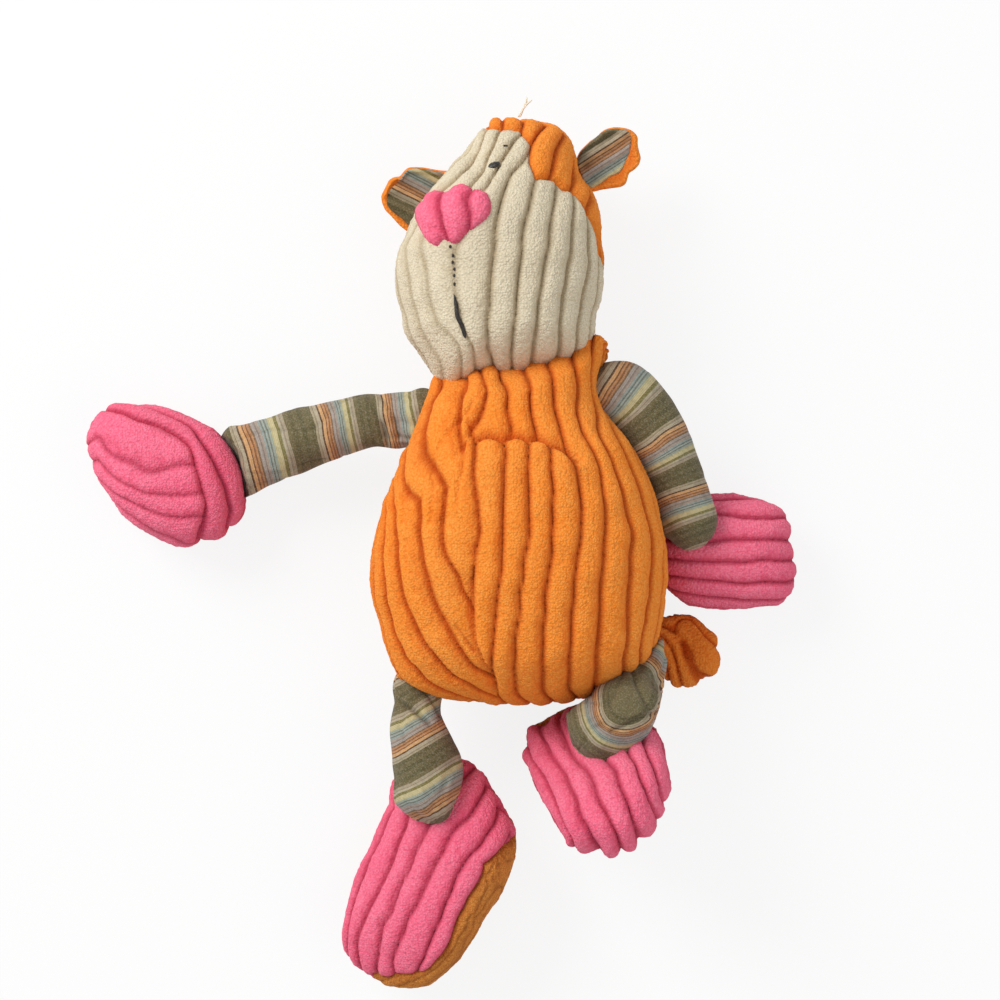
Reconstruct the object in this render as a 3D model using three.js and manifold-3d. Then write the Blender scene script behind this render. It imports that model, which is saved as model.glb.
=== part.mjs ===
// Stuffed plush monkey, lying on its back. Millimetres, +Z up, head towards +Y.
// Left and right are the monkey's own. The origin is on the floor under the body.

import * as THREE from 'three';
import { mergeVertices } from 'three/addons/utils/BufferGeometryUtils.js';
import Module from 'manifold-3d';

const wasm = await Module();
wasm.setup();

// Cloth and clearances
const plushThickness = 4.5;
const jerseyThickness = 1.6;
const ribPitch = 10.8;
const ribDepth = 2.2;
const pressedRibDepth = 0.4;
const pressedHeight = 12;
const seamGap = 0.3;
const floorCut = 0.5;
const socketClearance = 0.9;
const limbClearance = 0.9;
const seatClearance = 0.4;
const socketStandoff = 4;
const waistShare = 0.88;
const fillOpeningRadius = 5;
const fillGap = 1;
const blockSize = 600;
const ballColumns = 14;
const ballRings = 8;

// Body
const body = { length: 151, width: 131.4, depth: 93, neckWidth: 74, neckDepth: 62, hipWidth: 122 };
const bodyBottomY = -71;
const bodyRoundness = 2.3;
const bodyDomes = { bottom: 34, neck: 6 };
const bodySlack = { bottomDrop: 6, neckLean: -4 };

// Head
const head = { length: 115.5, width: 91.6, depth: 86, crownWidth: 51, crownDepth: 52, chinWidth: 84 };
const headRoundness = 2.2;
const headLean = 12.5;
const chinOffsetX = -9;
const chinUnderBody = 7;
const faceTurn = THREE.MathUtils.degToRad(27);
const snout = { height: 7, along: 17, around: 0.62, fromChin: 72 };
const templeLobes = [
  { aside: 31, fromChin: 104, height: 18, radius: 24 },
  { aside: -18, fromChin: 98, height: -8, radius: 13 },
];
const neckTurnClearance = 0.8;
const headDomes = { chin: 25, crown: 17 };
const crownDrop = 3;
const neckBowlSize = { share: 1.04, flare: 4, rise: 30, columns: 28 };

// Ears
const ear = { length: 26, width: 28, depth: 9, rim: 3, clearance: 0.6 };
const earFolds = [-25, -12.5, 0, 12.5, 25];
const earRootNarrowing = 4;
const leftEarSeat = { x: 4, y: 160, drop: 6, lean: 0.28 };
const rightEarSeat = { x: -4, y: 143, drop: 26, lean: 0.2 };

// Arms and hands
const arm = { rootRadius: 11.2, middleRadius: 13, endRadius: 14.2 };
const leftArm = { rootRadius: 11.2, middleRadius: 12.4, endRadius: 12 };
const rightArmReach = 76;
const leftArmReach = 63;
const shoulderDrop = 4;
const rightShoulderY = 55;
const leftShoulderY = 65;
const rightArmBends = [[0.27, 4, 0], [0.6, 2.7, 0]];
const leftArmBends = [[0.07, -8.6, 0], [0.24, -11.8, 0], [0.55, -8, 0], [0.82, -3, 0]];
const rightHandOffset = { x: -40, y: -7 };
const leftHandOffset = { x: -14, y: -17 };
const hand = { length: 73, width: 62, heelWidth: 58, toeWidth: 50, depth: 42 };
const rightShoulderFolds = [0, -12, -24, -35];
const rightHandHeading = THREE.MathUtils.degToRad(160);
const leftHand = { length: 62, width: 51, heelWidth: 46, toeWidth: 48, depth: 40 };

// Legs and feet
const leg = { rootRadius: 12.5, middleRadius: 13.8, endRadius: 15 };
const leftLeg = { rootRadius: 12.5, middleRadius: 16, endRadius: 15 };
const rightLegReach = 42;
const leftAnkleFolds = [0, 10, 20];
const foot = { length: 104, width: 74, heelWidth: 60, toeWidth: 64, depth: 45 };
const leftFoot = { ...foot, width: 67, heelWidth: 58, toeWidth: 58 };
const soleSeamDrop = 5;
const rightHipSeat = { x: -43, y: -20, z: 34 };
const leftHipSeat = { x: 16, y: -12, z: 44 };
const leftHipWay = [0.64, -0.77, 0];
const rightLegBends = [[0.5, 0, 2]];
const leftLegBends = [[0.5, -3, 5]];
const rightHeelOffset = { x: 13, y: 8 };
const rightAnkleFromHeel = 15;
const leftFootOffset = { x: -20, y: -46 };
const leftAnkleFromHeel = 58;
const leftAnkleAside = 8;
const footHeading = THREE.MathUtils.degToRad(253);
const footRoll = THREE.MathUtils.degToRad(27);
const leftFootPitch = THREE.MathUtils.degToRad(64);

// Tail
const tail = { radius: 7.4, reach: 28, curlRadius: 8.8 };
const tailSeat = { x: 30, y: -38, z: 30 };
const tailWay = [0.62, -0.35, -0.7];

// Small face pieces
const nose = { width: 33, height: 26, thickness: 2.4 };
const eye = { width: 4.6, height: 3, thickness: 1.6 };
const brow = { width: 2.2, height: 1.2, thickness: 1 };
const mouth = { width: 1.8, thickness: 1 };
const threadLength = 9;
const threadRadius = 0.6;
const threadLeans = [0.12, 0.6];
const noseOffset = { x: -19, y: 72, tilt: 0.15 };
const leftEyeOffset = { x: -2, y: 94, tilt: 0.5 };
const rightEyeOffset = { x: -13.5, y: 93, tilt: 0 };
const leftBrowOffset = { x: 5.7, y: 8.4, tilt: 0.5 };
const rightBrowOffset = { x: 2, y: 9, tilt: -0.5 };
const mouthRoute = [[-20, 56], [-20, 45], [-19.6, 38], [-19, 34], [-17.8, 27], [-16, 21.5], [-14.8, 19.4]];

const up = new THREE.Vector3(0, 0, 1);

const finishes = {
  orangePlush: { color: 0xf58220, roughness: 0.95, metalness: 0 },
  creamPlush: { color: 0xd8cfb8, roughness: 0.95, metalness: 0 },
  pinkPlush: { color: 0xff5f8c, roughness: 0.95, metalness: 0 },
  solePlush: { color: 0xc07830, roughness: 0.95, metalness: 0 },
  stripedJersey: { color: 0x8f8d74, roughness: 0.85, metalness: 0 },
  blackThread: { color: 0x15120f, roughness: 0.45, metalness: 0 },
  creamThread: { color: 0xe6dcc3, roughness: 0.9, metalness: 0 },
  fibreFill: { color: 0xf2f0ea, roughness: 1, metalness: 0 },
};

// Solids: geometry in, geometry out, joined and cut in between

/** A closed three.js geometry as a solid that can be joined and cut. */
function solidOf(geometry) {
  const bare = geometry.index ? geometry.clone() : geometry;
  bare.deleteAttribute('normal');
  bare.deleteAttribute('uv');
  const merged = mergeVertices(bare, 1e-4);
  return new wasm.Manifold(new wasm.Mesh({
    numProp: 3,
    vertProperties: new Float32Array(merged.attributes.position.array),
    triVerts: new Uint32Array(merged.index.array),
  }));
}

/** The geometry of a solid, seen from a local origin. */
function geometryOf(solid, origin) {
  const { vertProperties, triVerts } = solid.getMesh();
  const geometry = new THREE.BufferGeometry();
  geometry.setAttribute('position', new THREE.BufferAttribute(new Float32Array(vertProperties), 3));
  geometry.setIndex(new THREE.BufferAttribute(new Uint32Array(triVerts), 1));
  geometry.translate(-origin.x, -origin.y, -origin.z);
  geometry.computeVertexNormals();
  return geometry;
}

function ball(centre, radius) {
  return solidOf(new THREE.SphereGeometry(radius, ballColumns, ballRings).translate(centre.x, centre.y, centre.z));
}

/** A block with one face through `point`, reaching away from it along `direction`. */
function halfSpace(point, direction) {
  const block = new THREE.BoxGeometry(blockSize, blockSize, blockSize).translate(0, 0, blockSize / 2);
  const turn = new THREE.Quaternion().setFromUnitVectors(up, direction.clone().normalize());
  block.applyQuaternion(turn);
  return solidOf(block.translate(point.x, point.y, point.z));
}

const aboveFloor = halfSpace(new THREE.Vector3(), up);

/** A smooth curve through [place, value] pairs, read at any place. */
function smoothValues(pairs) {
  const places = pairs.map(([place]) => place);
  const values = pairs.map(([, value]) => value);
  const curve = new THREE.CubicInterpolant(places, values, 1);
  return (place) => curve.evaluate(THREE.MathUtils.clamp(place, places[0], places.at(-1)))[0];
}

/**
 * A stuffed form: rounded sections strung on a curved spine, domed at both ends.
 * Ribs run along it, two columns of points to a rib. An inset shrinks it evenly,
 * which gives the inside of its cloth, and a negative inset grows it.
 */
class StuffedForm {
  constructor({ spine, halfWidth, halfDepth, startDome, endDome, depthAxis = up, roundness = 2,
    ribs = 0, columns = 12, rings = 8, bulge = null }) {
    Object.assign(this, { halfWidth, halfDepth, startDome, endDome, roundness, ribs, bulge });
    this.outside = { columns: ribs ? 2 * ribs : columns, rings };
    this.inside = { columns: Math.min(this.outside.columns, 10), rings: Math.ceil(rings * 0.55) };
    this.depthAxis = depthAxis.clone().normalize();
    this.setSpine(spine);
  }

  setSpine(points) {
    this.spine = points;
    this.curve = new THREE.CatmullRomCurve3(points, false, 'centripetal');
    this.length = this.curve.getLength();
  }

  /** The middle of the section at a distance along the spine, and the directions across it. */
  frameAt(distance) {
    const place = THREE.MathUtils.clamp(distance / this.length, 0, 1);
    const tangent = this.curve.getTangentAt(place);
    const side = new THREE.Vector3().crossVectors(tangent, this.depthAxis).normalize();
    const depth = new THREE.Vector3().crossVectors(side, tangent).normalize();
    return { place, side, depth, centre: this.curve.getPointAt(place) };
  }

  /** The point of the surface at a distance along the spine and an angle round it. */
  pointAt(distance, angle, inset = 0, dome = 1, isValley = false) {
    const { place, side, depth, centre } = this.frameAt(distance);
    const power = 2 / this.roundness;
    const across = Math.sign(Math.cos(angle)) * Math.abs(Math.cos(angle)) ** power;
    const above = Math.sign(Math.sin(angle)) * Math.abs(Math.sin(angle)) ** power;
    const point = side.clone().multiplyScalar(across * (this.halfWidth(place) - inset) * dome);
    point.addScaledVector(depth, above * (this.halfDepth(place) - inset) * dome);
    const outward = point.clone().normalize();
    if (this.bulge) point.addScaledVector(outward, this.bulge(distance, angle) * dome);
    if (isValley) {
      const height = centre.z + point.z;
      const pressed = THREE.MathUtils.smoothstep(height, 0, pressedHeight);
      const drop = THREE.MathUtils.lerp(pressedRibDepth, ribDepth, pressed) * dome;
      point.addScaledVector(outward, -drop);
    }
    return point.add(centre);
  }

  /** Distances along the spine for the rings, with how far each is domed in. */
  ringPlaces(inset, rings) {
    const domeRings = Math.max(2, Math.round(rings / 3));
    const length = this.length;
    const start = this.startDome - inset;
    const end = this.endDome - inset;
    const places = [];
    for (let ring = 1; ring <= domeRings; ring += 1) {
      const turn = (ring / domeRings) * Math.PI / 2;
      places.push([inset + start * (1 - Math.cos(turn)), Math.sin(turn)]);
    }
    const middleRings = rings - domeRings;
    for (let ring = 1; ring < middleRings; ring += 1) {
      const from = this.startDome;
      const to = length - this.endDome;
      places.push([from + (to - from) * ring / middleRings, 1]);
    }
    for (let ring = domeRings; ring >= 1; ring -= 1) {
      const turn = (ring / domeRings) * Math.PI / 2;
      places.push([length - inset - end * (1 - Math.cos(turn)), Math.sin(turn)]);
    }
    return places;
  }

  /** The closed surface, with its ribs or smooth over their crests. */
  surface(inset = 0, { columns, rings } = this.outside, hasRibs = this.ribs > 0) {
    const places = this.ringPlaces(inset, rings);
    const points = places.flatMap(([distance, dome]) => Array.from({ length: columns }, (_, column) => {
      const angle = (column / columns) * 2 * Math.PI;
      return this.pointAt(distance, angle, inset, dome, hasRibs && column % 2 === 1);
    }));
    const first = points.push(this.frameAt(inset).centre) - 1;
    const last = points.push(this.frameAt(this.length - inset).centre) - 1;
    const triangles = [];
    for (let ring = 0; ring < places.length; ring += 1) {
      for (let column = 0; column < columns; column += 1) {
        const next = (column + 1) % columns;
        const here = ring * columns + column;
        const beside = ring * columns + next;
        if (ring === 0) triangles.push(first, here, beside);
        if (ring === places.length - 1) {
          triangles.push(last, beside, here);
        } else {
          triangles.push(here, here + columns, beside + columns, here, beside + columns, beside);
        }
      }
    }
    const geometry = new THREE.BufferGeometry();
    geometry.setAttribute('position',
      new THREE.BufferAttribute(new Float32Array(points.flatMap((point) => point.toArray())), 3));
    geometry.setIndex(triangles);
    return geometry;
  }

  solid(inset = 0) {
    return solidOf(this.surface(inset));
  }

  /** The space inside the cloth. */
  insideSolid(inset) {
    return solidOf(this.surface(inset, this.inside, false));
  }

  /** The space that neighbours keep out of, one column to a rib. */
  grownSolid(clearance) {
    const columns = this.ribs || this.outside.columns;
    return solidOf(this.surface(-clearance, { columns, rings: this.outside.rings }, false));
  }

  /** Lifts or lowers the whole form until it presses into the floor by the flat's depth. */
  restOnFloor() {
    const geometry = this.surface();
    geometry.computeBoundingBox();
    const lift = -floorCut - geometry.boundingBox.min.z;
    this.setSpine(this.spine.map((point) => point.clone().setZ(point.z + lift)));
    return this;
  }

  /** Where a ray from inside leaves the surface. */
  exitPoint(from, direction) {
    const skin = new THREE.Mesh(this.surface(), new THREE.MeshBasicMaterial({ side: THREE.DoubleSide }));
    const hits = new THREE.Raycaster(from, direction.clone().normalize()).intersectObject(skin);
    return hits.at(-1).point;
  }
}

// Helpers shared by the sub-assemblies

const at = (x, y, z = 0) => new THREE.Vector3(x, y, z);

/** The pivot of a limb: a little outside the surface that its rounded root nests in. */
function pivotOn(form, from, direction) {
  const outward = direction.clone().normalize();
  return form.exitPoint(from, outward).addScaledVector(outward, socketStandoff);
}

/** A route from one pivot to the other, bent aside and lifted at [share, aside, lift]. */
function routeBetween(start, end, bends) {
  const side = end.clone().sub(start).cross(up).normalize();
  const middle = bends.map(([share, aside, lift]) => start.clone().lerp(end, share)
    .addScaledVector(side, aside).addScaledVector(up, lift));
  return [start, ...middle, end];
}

/** Cloth of a form: what lies between its surface and its inside. */
function clothOf(form, thickness) {
  return form.solid().intersect(aboveFloor).subtract(form.insideSolid(thickness));
}

function stuffingOf(form, thickness) {
  return form.insideSolid(thickness + fillGap);
}

/** The space that a solid takes as it turns about an axis through a pivot, at each angle in degrees. */
function sweptSolid(solid, pivot, axis, angles) {
  const turned = angles.map((angle) => {
    const turn = new THREE.Matrix4().makeTranslation(pivot)
      .multiply(new THREE.Matrix4().makeRotationAxis(axis, THREE.MathUtils.degToRad(angle)))
      .multiply(new THREE.Matrix4().makeTranslation(pivot.clone().negate()));
    return solid.transform(turn.elements);
  });
  return turned.reduce((space, copy) => space.add(copy));
}

/** The largest body of a solid, without the slivers that a cut may leave. */
function mainBody(solid) {
  return solid.decompose().reduce((best, body) => (body.volume() > best.volume() ? body : best));
}

const bodies = {};

/** A body of the toy: a group at its pivot, in the group that carries it. */
function addBody(name, parent, pivot) {
  const group = new THREE.Group();
  group.userData.pivot = pivot;
  if (parent) {
    group.position.copy(pivot).sub(bodies[parent].userData.pivot);
    bodies[parent].add(group);
  }
  bodies[name] = group;
  return group;
}

function addPiece(bodyName, name, solid, finish) {
  const group = bodies[bodyName];
  const mesh = new THREE.Mesh(
    geometryOf(mainBody(solid), group.userData.pivot),
    new THREE.MeshStandardMaterial(finishes[finish]),
  );
  mesh.name = name;
  group.add(mesh);
}

/** Halves of a sewn cloth, on each side of the plane of its seam. */
function sewnHalves(cloth, point, normal) {
  const half = normal.clone().normalize().multiplyScalar(seamGap / 2);
  return {
    above: cloth.intersect(halfSpace(point.clone().add(half), normal)),
    below: cloth.intersect(halfSpace(point.clone().sub(half), normal.clone().negate())),
  };
}

// Body form

const bodyWidthAt = (share) => THREE.MathUtils.lerp(body.neckWidth, body.width, share) / 2;
const bodyDepthAt = (share) => THREE.MathUtils.lerp(body.neckDepth, body.depth, share) / 2;
const bodyForm = new StuffedForm({
  spine: [at(1, bodyBottomY, body.depth / 2 - bodySlack.bottomDrop), at(0.5, bodyBottomY + 0.42 * body.length,
    body.depth / 2), at(-1, bodyBottomY + 0.75 * body.length, body.depth / 2),
  at(bodySlack.neckLean, bodyBottomY + body.length, body.depth / 2)],
  halfWidth: smoothValues([[0, body.hipWidth / 2], [0.2, body.hipWidth / 2 + 0.5], [0.4, bodyWidthAt(1)],
    [0.57, bodyWidthAt(0.83)], [0.72, bodyWidthAt(0.5)], [0.82, bodyWidthAt(0.16)], [0.9, bodyWidthAt(0.03)],
    [1, bodyWidthAt(0)]]),
  halfDepth: smoothValues([[0, bodyDepthAt(0.4)], [0.2, bodyDepthAt(0.8)], [0.4, bodyDepthAt(1)],
    [0.57, bodyDepthAt(0.96)], [0.72, bodyDepthAt(0.72)], [0.82, bodyDepthAt(0.34)], [1, bodyDepthAt(0)]]),
  startDome: bodyDomes.bottom,
  endDome: bodyDomes.neck,
  roundness: bodyRoundness,
  ribs: 4 * Math.floor(Math.PI * (body.width + body.depth) / 8 / ribPitch) - 4,
  rings: 11,
}).restOnFloor();
const bodySeamZ = body.depth / 2 - floorCut;

// Head form

const neckPivot = at(chinOffsetX, bodyBottomY + body.length - chinUnderBody, head.depth / 2 - floorCut);
const headWidthAt = (share) => THREE.MathUtils.lerp(head.crownWidth, head.width, share) / 2;
const headDepthAt = (share) => THREE.MathUtils.lerp(head.crownDepth, head.depth, share) / 2;
const faceAngle = Math.PI / 2 + faceTurn;
const faceDirection = at(Math.cos(faceAngle), 0, Math.sin(faceAngle));

/** The muzzle's swelling: highest at the nose, gone at the cheeks. */
function snoutBulge(distance, angle) {
  const along = (distance - snout.fromChin) / snout.along;
  const around = (angle - faceAngle) / snout.around;
  return snout.height * Math.exp(-along * along - around * around);
}

const headForm = new StuffedForm({
  spine: [neckPivot, neckPivot.clone().add(at(1, 0.38 * head.length, 0)),
    neckPivot.clone().add(at(0.7 * headLean, 0.75 * head.length, -1)),
    neckPivot.clone().add(at(headLean, head.length, -crownDrop))],
  halfWidth: smoothValues([[0, head.chinWidth / 2], [0.22, head.chinWidth / 2 + 1.4], [0.38, headWidthAt(1)],
    [0.53, headWidthAt(0.92)], [0.63, headWidthAt(0.73)], [0.72, headWidthAt(0.4)], [0.83, headWidthAt(0.06)],
    [1, headWidthAt(0)]]),
  halfDepth: smoothValues([[0, headDepthAt(0.62)], [0.22, headDepthAt(0.88)], [0.38, headDepthAt(1)],
    [0.53, headDepthAt(0.95)], [0.7, headDepthAt(0.62)], [0.85, headDepthAt(0.2)], [1, headDepthAt(0)]]),
  startDome: headDomes.chin,
  endDome: headDomes.crown,
  roundness: headRoundness,
  ribs: Math.round(Math.PI * (head.width + head.depth) / 2 / ribPitch) - 4,
  rings: 10,
  bulge: snoutBulge,
}).restOnFloor();

/** The bowl in the body's top that the turning head sits in. */
function neckBowl() {
  const steps = 6;
  const profile = [new THREE.Vector2(0, -neckTurnClearance)];
  for (let step = 1; step <= steps; step += 1) {
    const turn = (step / steps) * Math.PI / 2;
    const height = headForm.startDome * (1 - Math.cos(turn));
    const reach = headForm.halfWidth(height / head.length) * neckBowlSize.share;
    const radius = reach * Math.sin(turn) + neckTurnClearance;
    profile.push(new THREE.Vector2(radius, height - neckTurnClearance * Math.cos(turn)));
  }
  const top = headForm.startDome + neckBowlSize.rise;
  profile.push(new THREE.Vector2(profile.at(-1).x + neckBowlSize.flare, top), new THREE.Vector2(0, top));
  const bowl = new THREE.LatheGeometry(profile, neckBowlSize.columns);
  const base = headForm.spine[0];
  return solidOf(bowl.translate(base.x, base.y, base.z));
}

// Limbs

/**
 * The form of a limb: a ball round each pivot, which nests in the larger piece there,
 * and between them a waist and a swelling.
 */
function limbForm(route, rootRadius, middleRadius, endRadius, rings = 10) {
  const [root, end] = [route[0], route.at(-1)];
  const rootTip = root.clone().add(root.clone().sub(route[1]).setLength(rootRadius));
  const endTip = end.clone().add(end.clone().sub(route.at(-2)).setLength(endRadius));
  const spine = [rootTip, ...route, endTip];
  const { length } = new StuffedForm({ spine });
  const radius = smoothValues([[0, rootRadius], [rootRadius / length, rootRadius],
    [rootRadius * 1.5 / length, rootRadius * waistShare], [0.5, middleRadius],
    [1 - endRadius * 1.5 / length, endRadius * waistShare], [1 - endRadius / length, endRadius], [1, endRadius]]);
  return new StuffedForm({
    spine, halfWidth: radius, halfDepth: radius, startDome: rootRadius, endDome: endRadius, columns: 12, rings,
  });
}

/** The way in through a limb's root, where the fill went in before it was sewn on. */
function fillOpening(form, radius, from) {
  const { centre } = form.frameAt(form.startDome);
  const inward = form.spine[0].clone().sub(centre).normalize();
  const reach = form.startDome * 1.5 - from;
  const geometry = new THREE.CylinderGeometry(radius, radius, reach, 10).translate(0, reach / 2, 0);
  geometry.applyQuaternion(new THREE.Quaternion().setFromUnitVectors(at(0, 1), inward));
  return solidOf(geometry.translate(centre.x, centre.y, centre.z));
}

/** A sleeve of one cloth over its fill, open at the root, its ends round in their sockets. */
function addSleeve(bodyName, names, form, thickness, finish, neighbours) {
  const ends = [form.frameAt(form.startDome).centre, form.frameAt(form.length - form.endDome).centre];
  const seats = [ball(ends[0], form.startDome + seatClearance), ball(ends[1], form.endDome + seatClearance)];
  const clear = (solid, extra) => neighbours.reduce((rest, { form: other, swing }) => {
    const grown = other.grownSolid(limbClearance + extra);
    const space = swing ? sweptSolid(grown, swing.pivot, swing.axis, swing.angles) : grown;
    return rest.subtract(seats.reduce((left, seat) => left.subtract(seat), space));
  }, solid);
  const inside = form.insideSolid(thickness).add(fillOpening(form, fillOpeningRadius, 0));
  addPiece(bodyName, names[0], clear(form.solid().intersect(aboveFloor), 0).subtract(inside), finish);
  const fill = clear(form.insideSolid(thickness + fillGap), thickness + fillGap);
  const stub = fillOpening(form, fillOpeningRadius - fillGap, form.startDome / 2 + thickness);
  addPiece(bodyName, names[1], fill.add(stub), 'fibreFill');
}

function makeLimb({ bodyName, route, rootRadius, endRadius, middleRadius, neighbours = [] }) {
  addBody(bodyName, 'body', route[0]);
  const form = limbForm(route, rootRadius, middleRadius, endRadius);
  addSleeve(bodyName, [`${bodyName}_sleeve`, `${bodyName}_stuffing`], form, jerseyThickness, 'stripedJersey',
    neighbours);
}

/** A hand or foot: two sewn halves of plush over its fill, with the limb's socket. */
function makePaw({ bodyName, parent, pivot, form, socketRadius, halves, finish, seamDrop = 0, cutters = [] }) {
  const socket = ball(pivot, socketRadius + socketClearance);
  const trim = (solid) => cutters.reduce((rest, cutter) => rest.subtract(cutter), solid.subtract(socket));
  const middle = form.frameAt(form.length / 2).centre.addScaledVector(form.depthAxis, -seamDrop);
  const { above, below } = sewnHalves(trim(clothOf(form, plushThickness)), middle, form.depthAxis);
  addBody(bodyName, parent, pivot);
  addPiece(bodyName, halves[0], above, finish[0]);
  addPiece(bodyName, halves[1], below, finish[1]);
  addPiece(bodyName, `${bodyName}_stuffing`, trim(stuffingOf(form, plushThickness)), 'fibreFill');
}

/** The rounded, slightly square form of a hand or a foot between two points. */
function pawForm(heel, toe, size, depthAxis) {
  return new StuffedForm({
    spine: [heel, heel.clone().lerp(toe, 0.5), toe],
    halfWidth: smoothValues([[0, size.heelWidth / 2], [0.5, size.width / 2], [1, size.toeWidth / 2]]),
    halfDepth: smoothValues([[0, size.depth * 0.45], [0.5, size.depth / 2], [1, size.depth * 0.45]]),
    startDome: 0.3 * size.length,
    endDome: 0.3 * size.length,
    depthAxis,
    roundness: 2.3,
    ribs: Math.round(Math.PI * (size.width + size.depth) / 2 / ribPitch) - 4,
    rings: 9,
  }).restOnFloor();
}

const rootSocket = {};

addBody('body', null, at(0, 0, 0));
addBody('head', 'body', neckPivot);

// Right arm and hand: held out to the side, palm up

const rightShoulder = pivotOn(bodyForm, at(0, rightShoulderY, bodySeamZ - shoulderDrop), at(-1, 0, 0));
const rightWristPlan = rightShoulder.clone().add(at(-0.97, -0.244).multiplyScalar(rightArmReach));
const rightHandAxis = at(Math.cos(rightHandHeading), Math.sin(rightHandHeading));
const rightHandMiddle = rightWristPlan.clone().add(at(rightHandOffset.x, rightHandOffset.y))
  .setZ(hand.depth / 2);
const rightHandForm = pawForm(
  rightHandMiddle.clone().addScaledVector(rightHandAxis, -hand.length / 2),
  rightHandMiddle.clone().addScaledVector(rightHandAxis, hand.length / 2),
  hand, up,
);
const rightWrist = pivotOn(rightHandForm, rightHandForm.spine[1], rightWristPlan.clone()
  .sub(rightHandForm.spine[1]).setZ(0));
rootSocket.rightShoulder = ball(rightShoulder, arm.rootRadius + socketClearance);
makeLimb({
  bodyName: 'right_arm',
  route: routeBetween(rightShoulder, rightWrist, rightArmBends),
  ...arm,
  neighbours: [{ form: bodyForm, swing: { pivot: rightShoulder, axis: up, angles: rightShoulderFolds } }],
});
makePaw({
  bodyName: 'right_hand', parent: 'right_arm', pivot: rightWrist, form: rightHandForm,
  socketRadius: arm.endRadius, halves: ['right_hand_palm', 'right_hand_back'], finish: ['pinkPlush', 'pinkPlush'],
});

// Left arm and hand: down beside the body

const leftShoulder = pivotOn(bodyForm, at(0, leftShoulderY, bodySeamZ - shoulderDrop), at(1, 0, 0));
const leftWristPlan = leftShoulder.clone().add(at(0.58, -0.815).multiplyScalar(leftArmReach));
const leftHeel = leftWristPlan.clone().add(at(leftHandOffset.x, leftHandOffset.y)).setZ(leftHand.depth / 2);
const leftHandForm = pawForm(leftHeel, leftHeel.clone().add(at(leftHand.length, 0)), leftHand, up);
const leftWrist = pivotOn(leftHandForm, leftHeel.clone().add(at(-leftHandOffset.x, -1)), at(0, 0.6, 0.8));
rootSocket.leftShoulder = ball(leftShoulder, leftArm.rootRadius + socketClearance);
makeLimb({
  bodyName: 'left_arm',
  route: routeBetween(leftShoulder, leftWrist, leftArmBends),
  ...leftArm,
  neighbours: [{ form: bodyForm }, { form: leftHandForm }],
});
makePaw({
  bodyName: 'left_hand', parent: 'left_arm', pivot: leftWrist, form: leftHandForm,
  socketRadius: leftArm.endRadius, halves: ['left_hand_back', 'left_hand_palm'], finish: ['pinkPlush', 'pinkPlush'],
});

// Right leg and foot: down, the foot rolled a little to show its sole

const rightHip = pivotOn(bodyForm, at(rightHipSeat.x, rightHipSeat.y, rightHipSeat.z), at(0, -1, 0));
const rightFootAxis = at(Math.cos(footHeading), Math.sin(footHeading));
const rightAnklePlan = rightHip.clone().add(at(0.13, -0.99).multiplyScalar(rightLegReach));
const rightHeel = rightAnklePlan.clone().add(at(rightHeelOffset.x, rightHeelOffset.y)).setZ(foot.depth / 2);
const rollAxis = rightFootAxis.clone().cross(up).multiplyScalar(Math.sin(footRoll)).setZ(Math.cos(footRoll));
const rightFootForm = pawForm(rightHeel, rightHeel.clone().addScaledVector(rightFootAxis, foot.length), foot,
  rollAxis);
const rightAnkle = pivotOn(rightFootForm, rightFootForm.frameAt(rightAnkleFromHeel).centre, rollAxis);
rootSocket.rightHip = ball(rightHip, leg.rootRadius + socketClearance);
makeLimb({
  bodyName: 'right_leg',
  route: routeBetween(rightHip, rightAnkle, rightLegBends),
  ...leg,
  neighbours: [{ form: bodyForm }, { form: rightFootForm }],
});
makePaw({
  bodyName: 'right_foot', parent: 'right_leg', pivot: rightAnkle, form: rightFootForm,
  socketRadius: leg.endRadius, seamDrop: soleSeamDrop,
  halves: ['right_foot_upper', 'right_foot_sole'], finish: ['pinkPlush', 'solePlush'],
});

// Left leg and foot: the leg arches over onto a foot that stands on its heel

const leftHip = pivotOn(bodyForm, at(leftHipSeat.x, leftHipSeat.y, leftHipSeat.z), at(...leftHipWay));
const leftFootPlan = at(0.41, -0.91);
const leftFootAxis = leftFootPlan.clone().multiplyScalar(Math.cos(leftFootPitch)).setZ(Math.sin(leftFootPitch));
const leftFootUp = leftFootPlan.clone().multiplyScalar(-Math.sin(leftFootPitch)).setZ(Math.cos(leftFootPitch));
const leftFootMiddle = leftHip.clone().add(at(leftFootOffset.x, leftFootOffset.y));
const leftFootForm = pawForm(
  leftFootMiddle.clone().addScaledVector(leftFootAxis, -leftFoot.length / 2),
  leftFootMiddle.clone().addScaledVector(leftFootAxis, leftFoot.length / 2), leftFoot, leftFootUp,
);
const leftAnkle = pivotOn(leftFootForm, leftFootForm.frameAt(leftAnkleFromHeel).centre.add(at(leftAnkleAside, 0, 0)),
  leftFootUp);
rootSocket.leftHip = ball(leftHip, leftLeg.rootRadius + socketClearance);
makeLimb({
  bodyName: 'left_leg',
  route: routeBetween(leftHip, leftAnkle, leftLegBends),
  ...leftLeg,
  neighbours: [{ form: bodyForm },
    { form: leftFootForm, swing: { pivot: leftAnkle, axis: at(-1, 0, 0), angles: leftAnkleFolds } }],
});
makePaw({
  bodyName: 'left_foot', parent: 'left_leg', pivot: leftAnkle, form: leftFootForm,
  socketRadius: leftLeg.endRadius, seamDrop: soleSeamDrop,
  halves: ['left_foot_upper', 'left_foot_sole'], finish: ['pinkPlush', 'solePlush'],
});

// Tail: from the low back, out beside the hip and curled back

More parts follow.
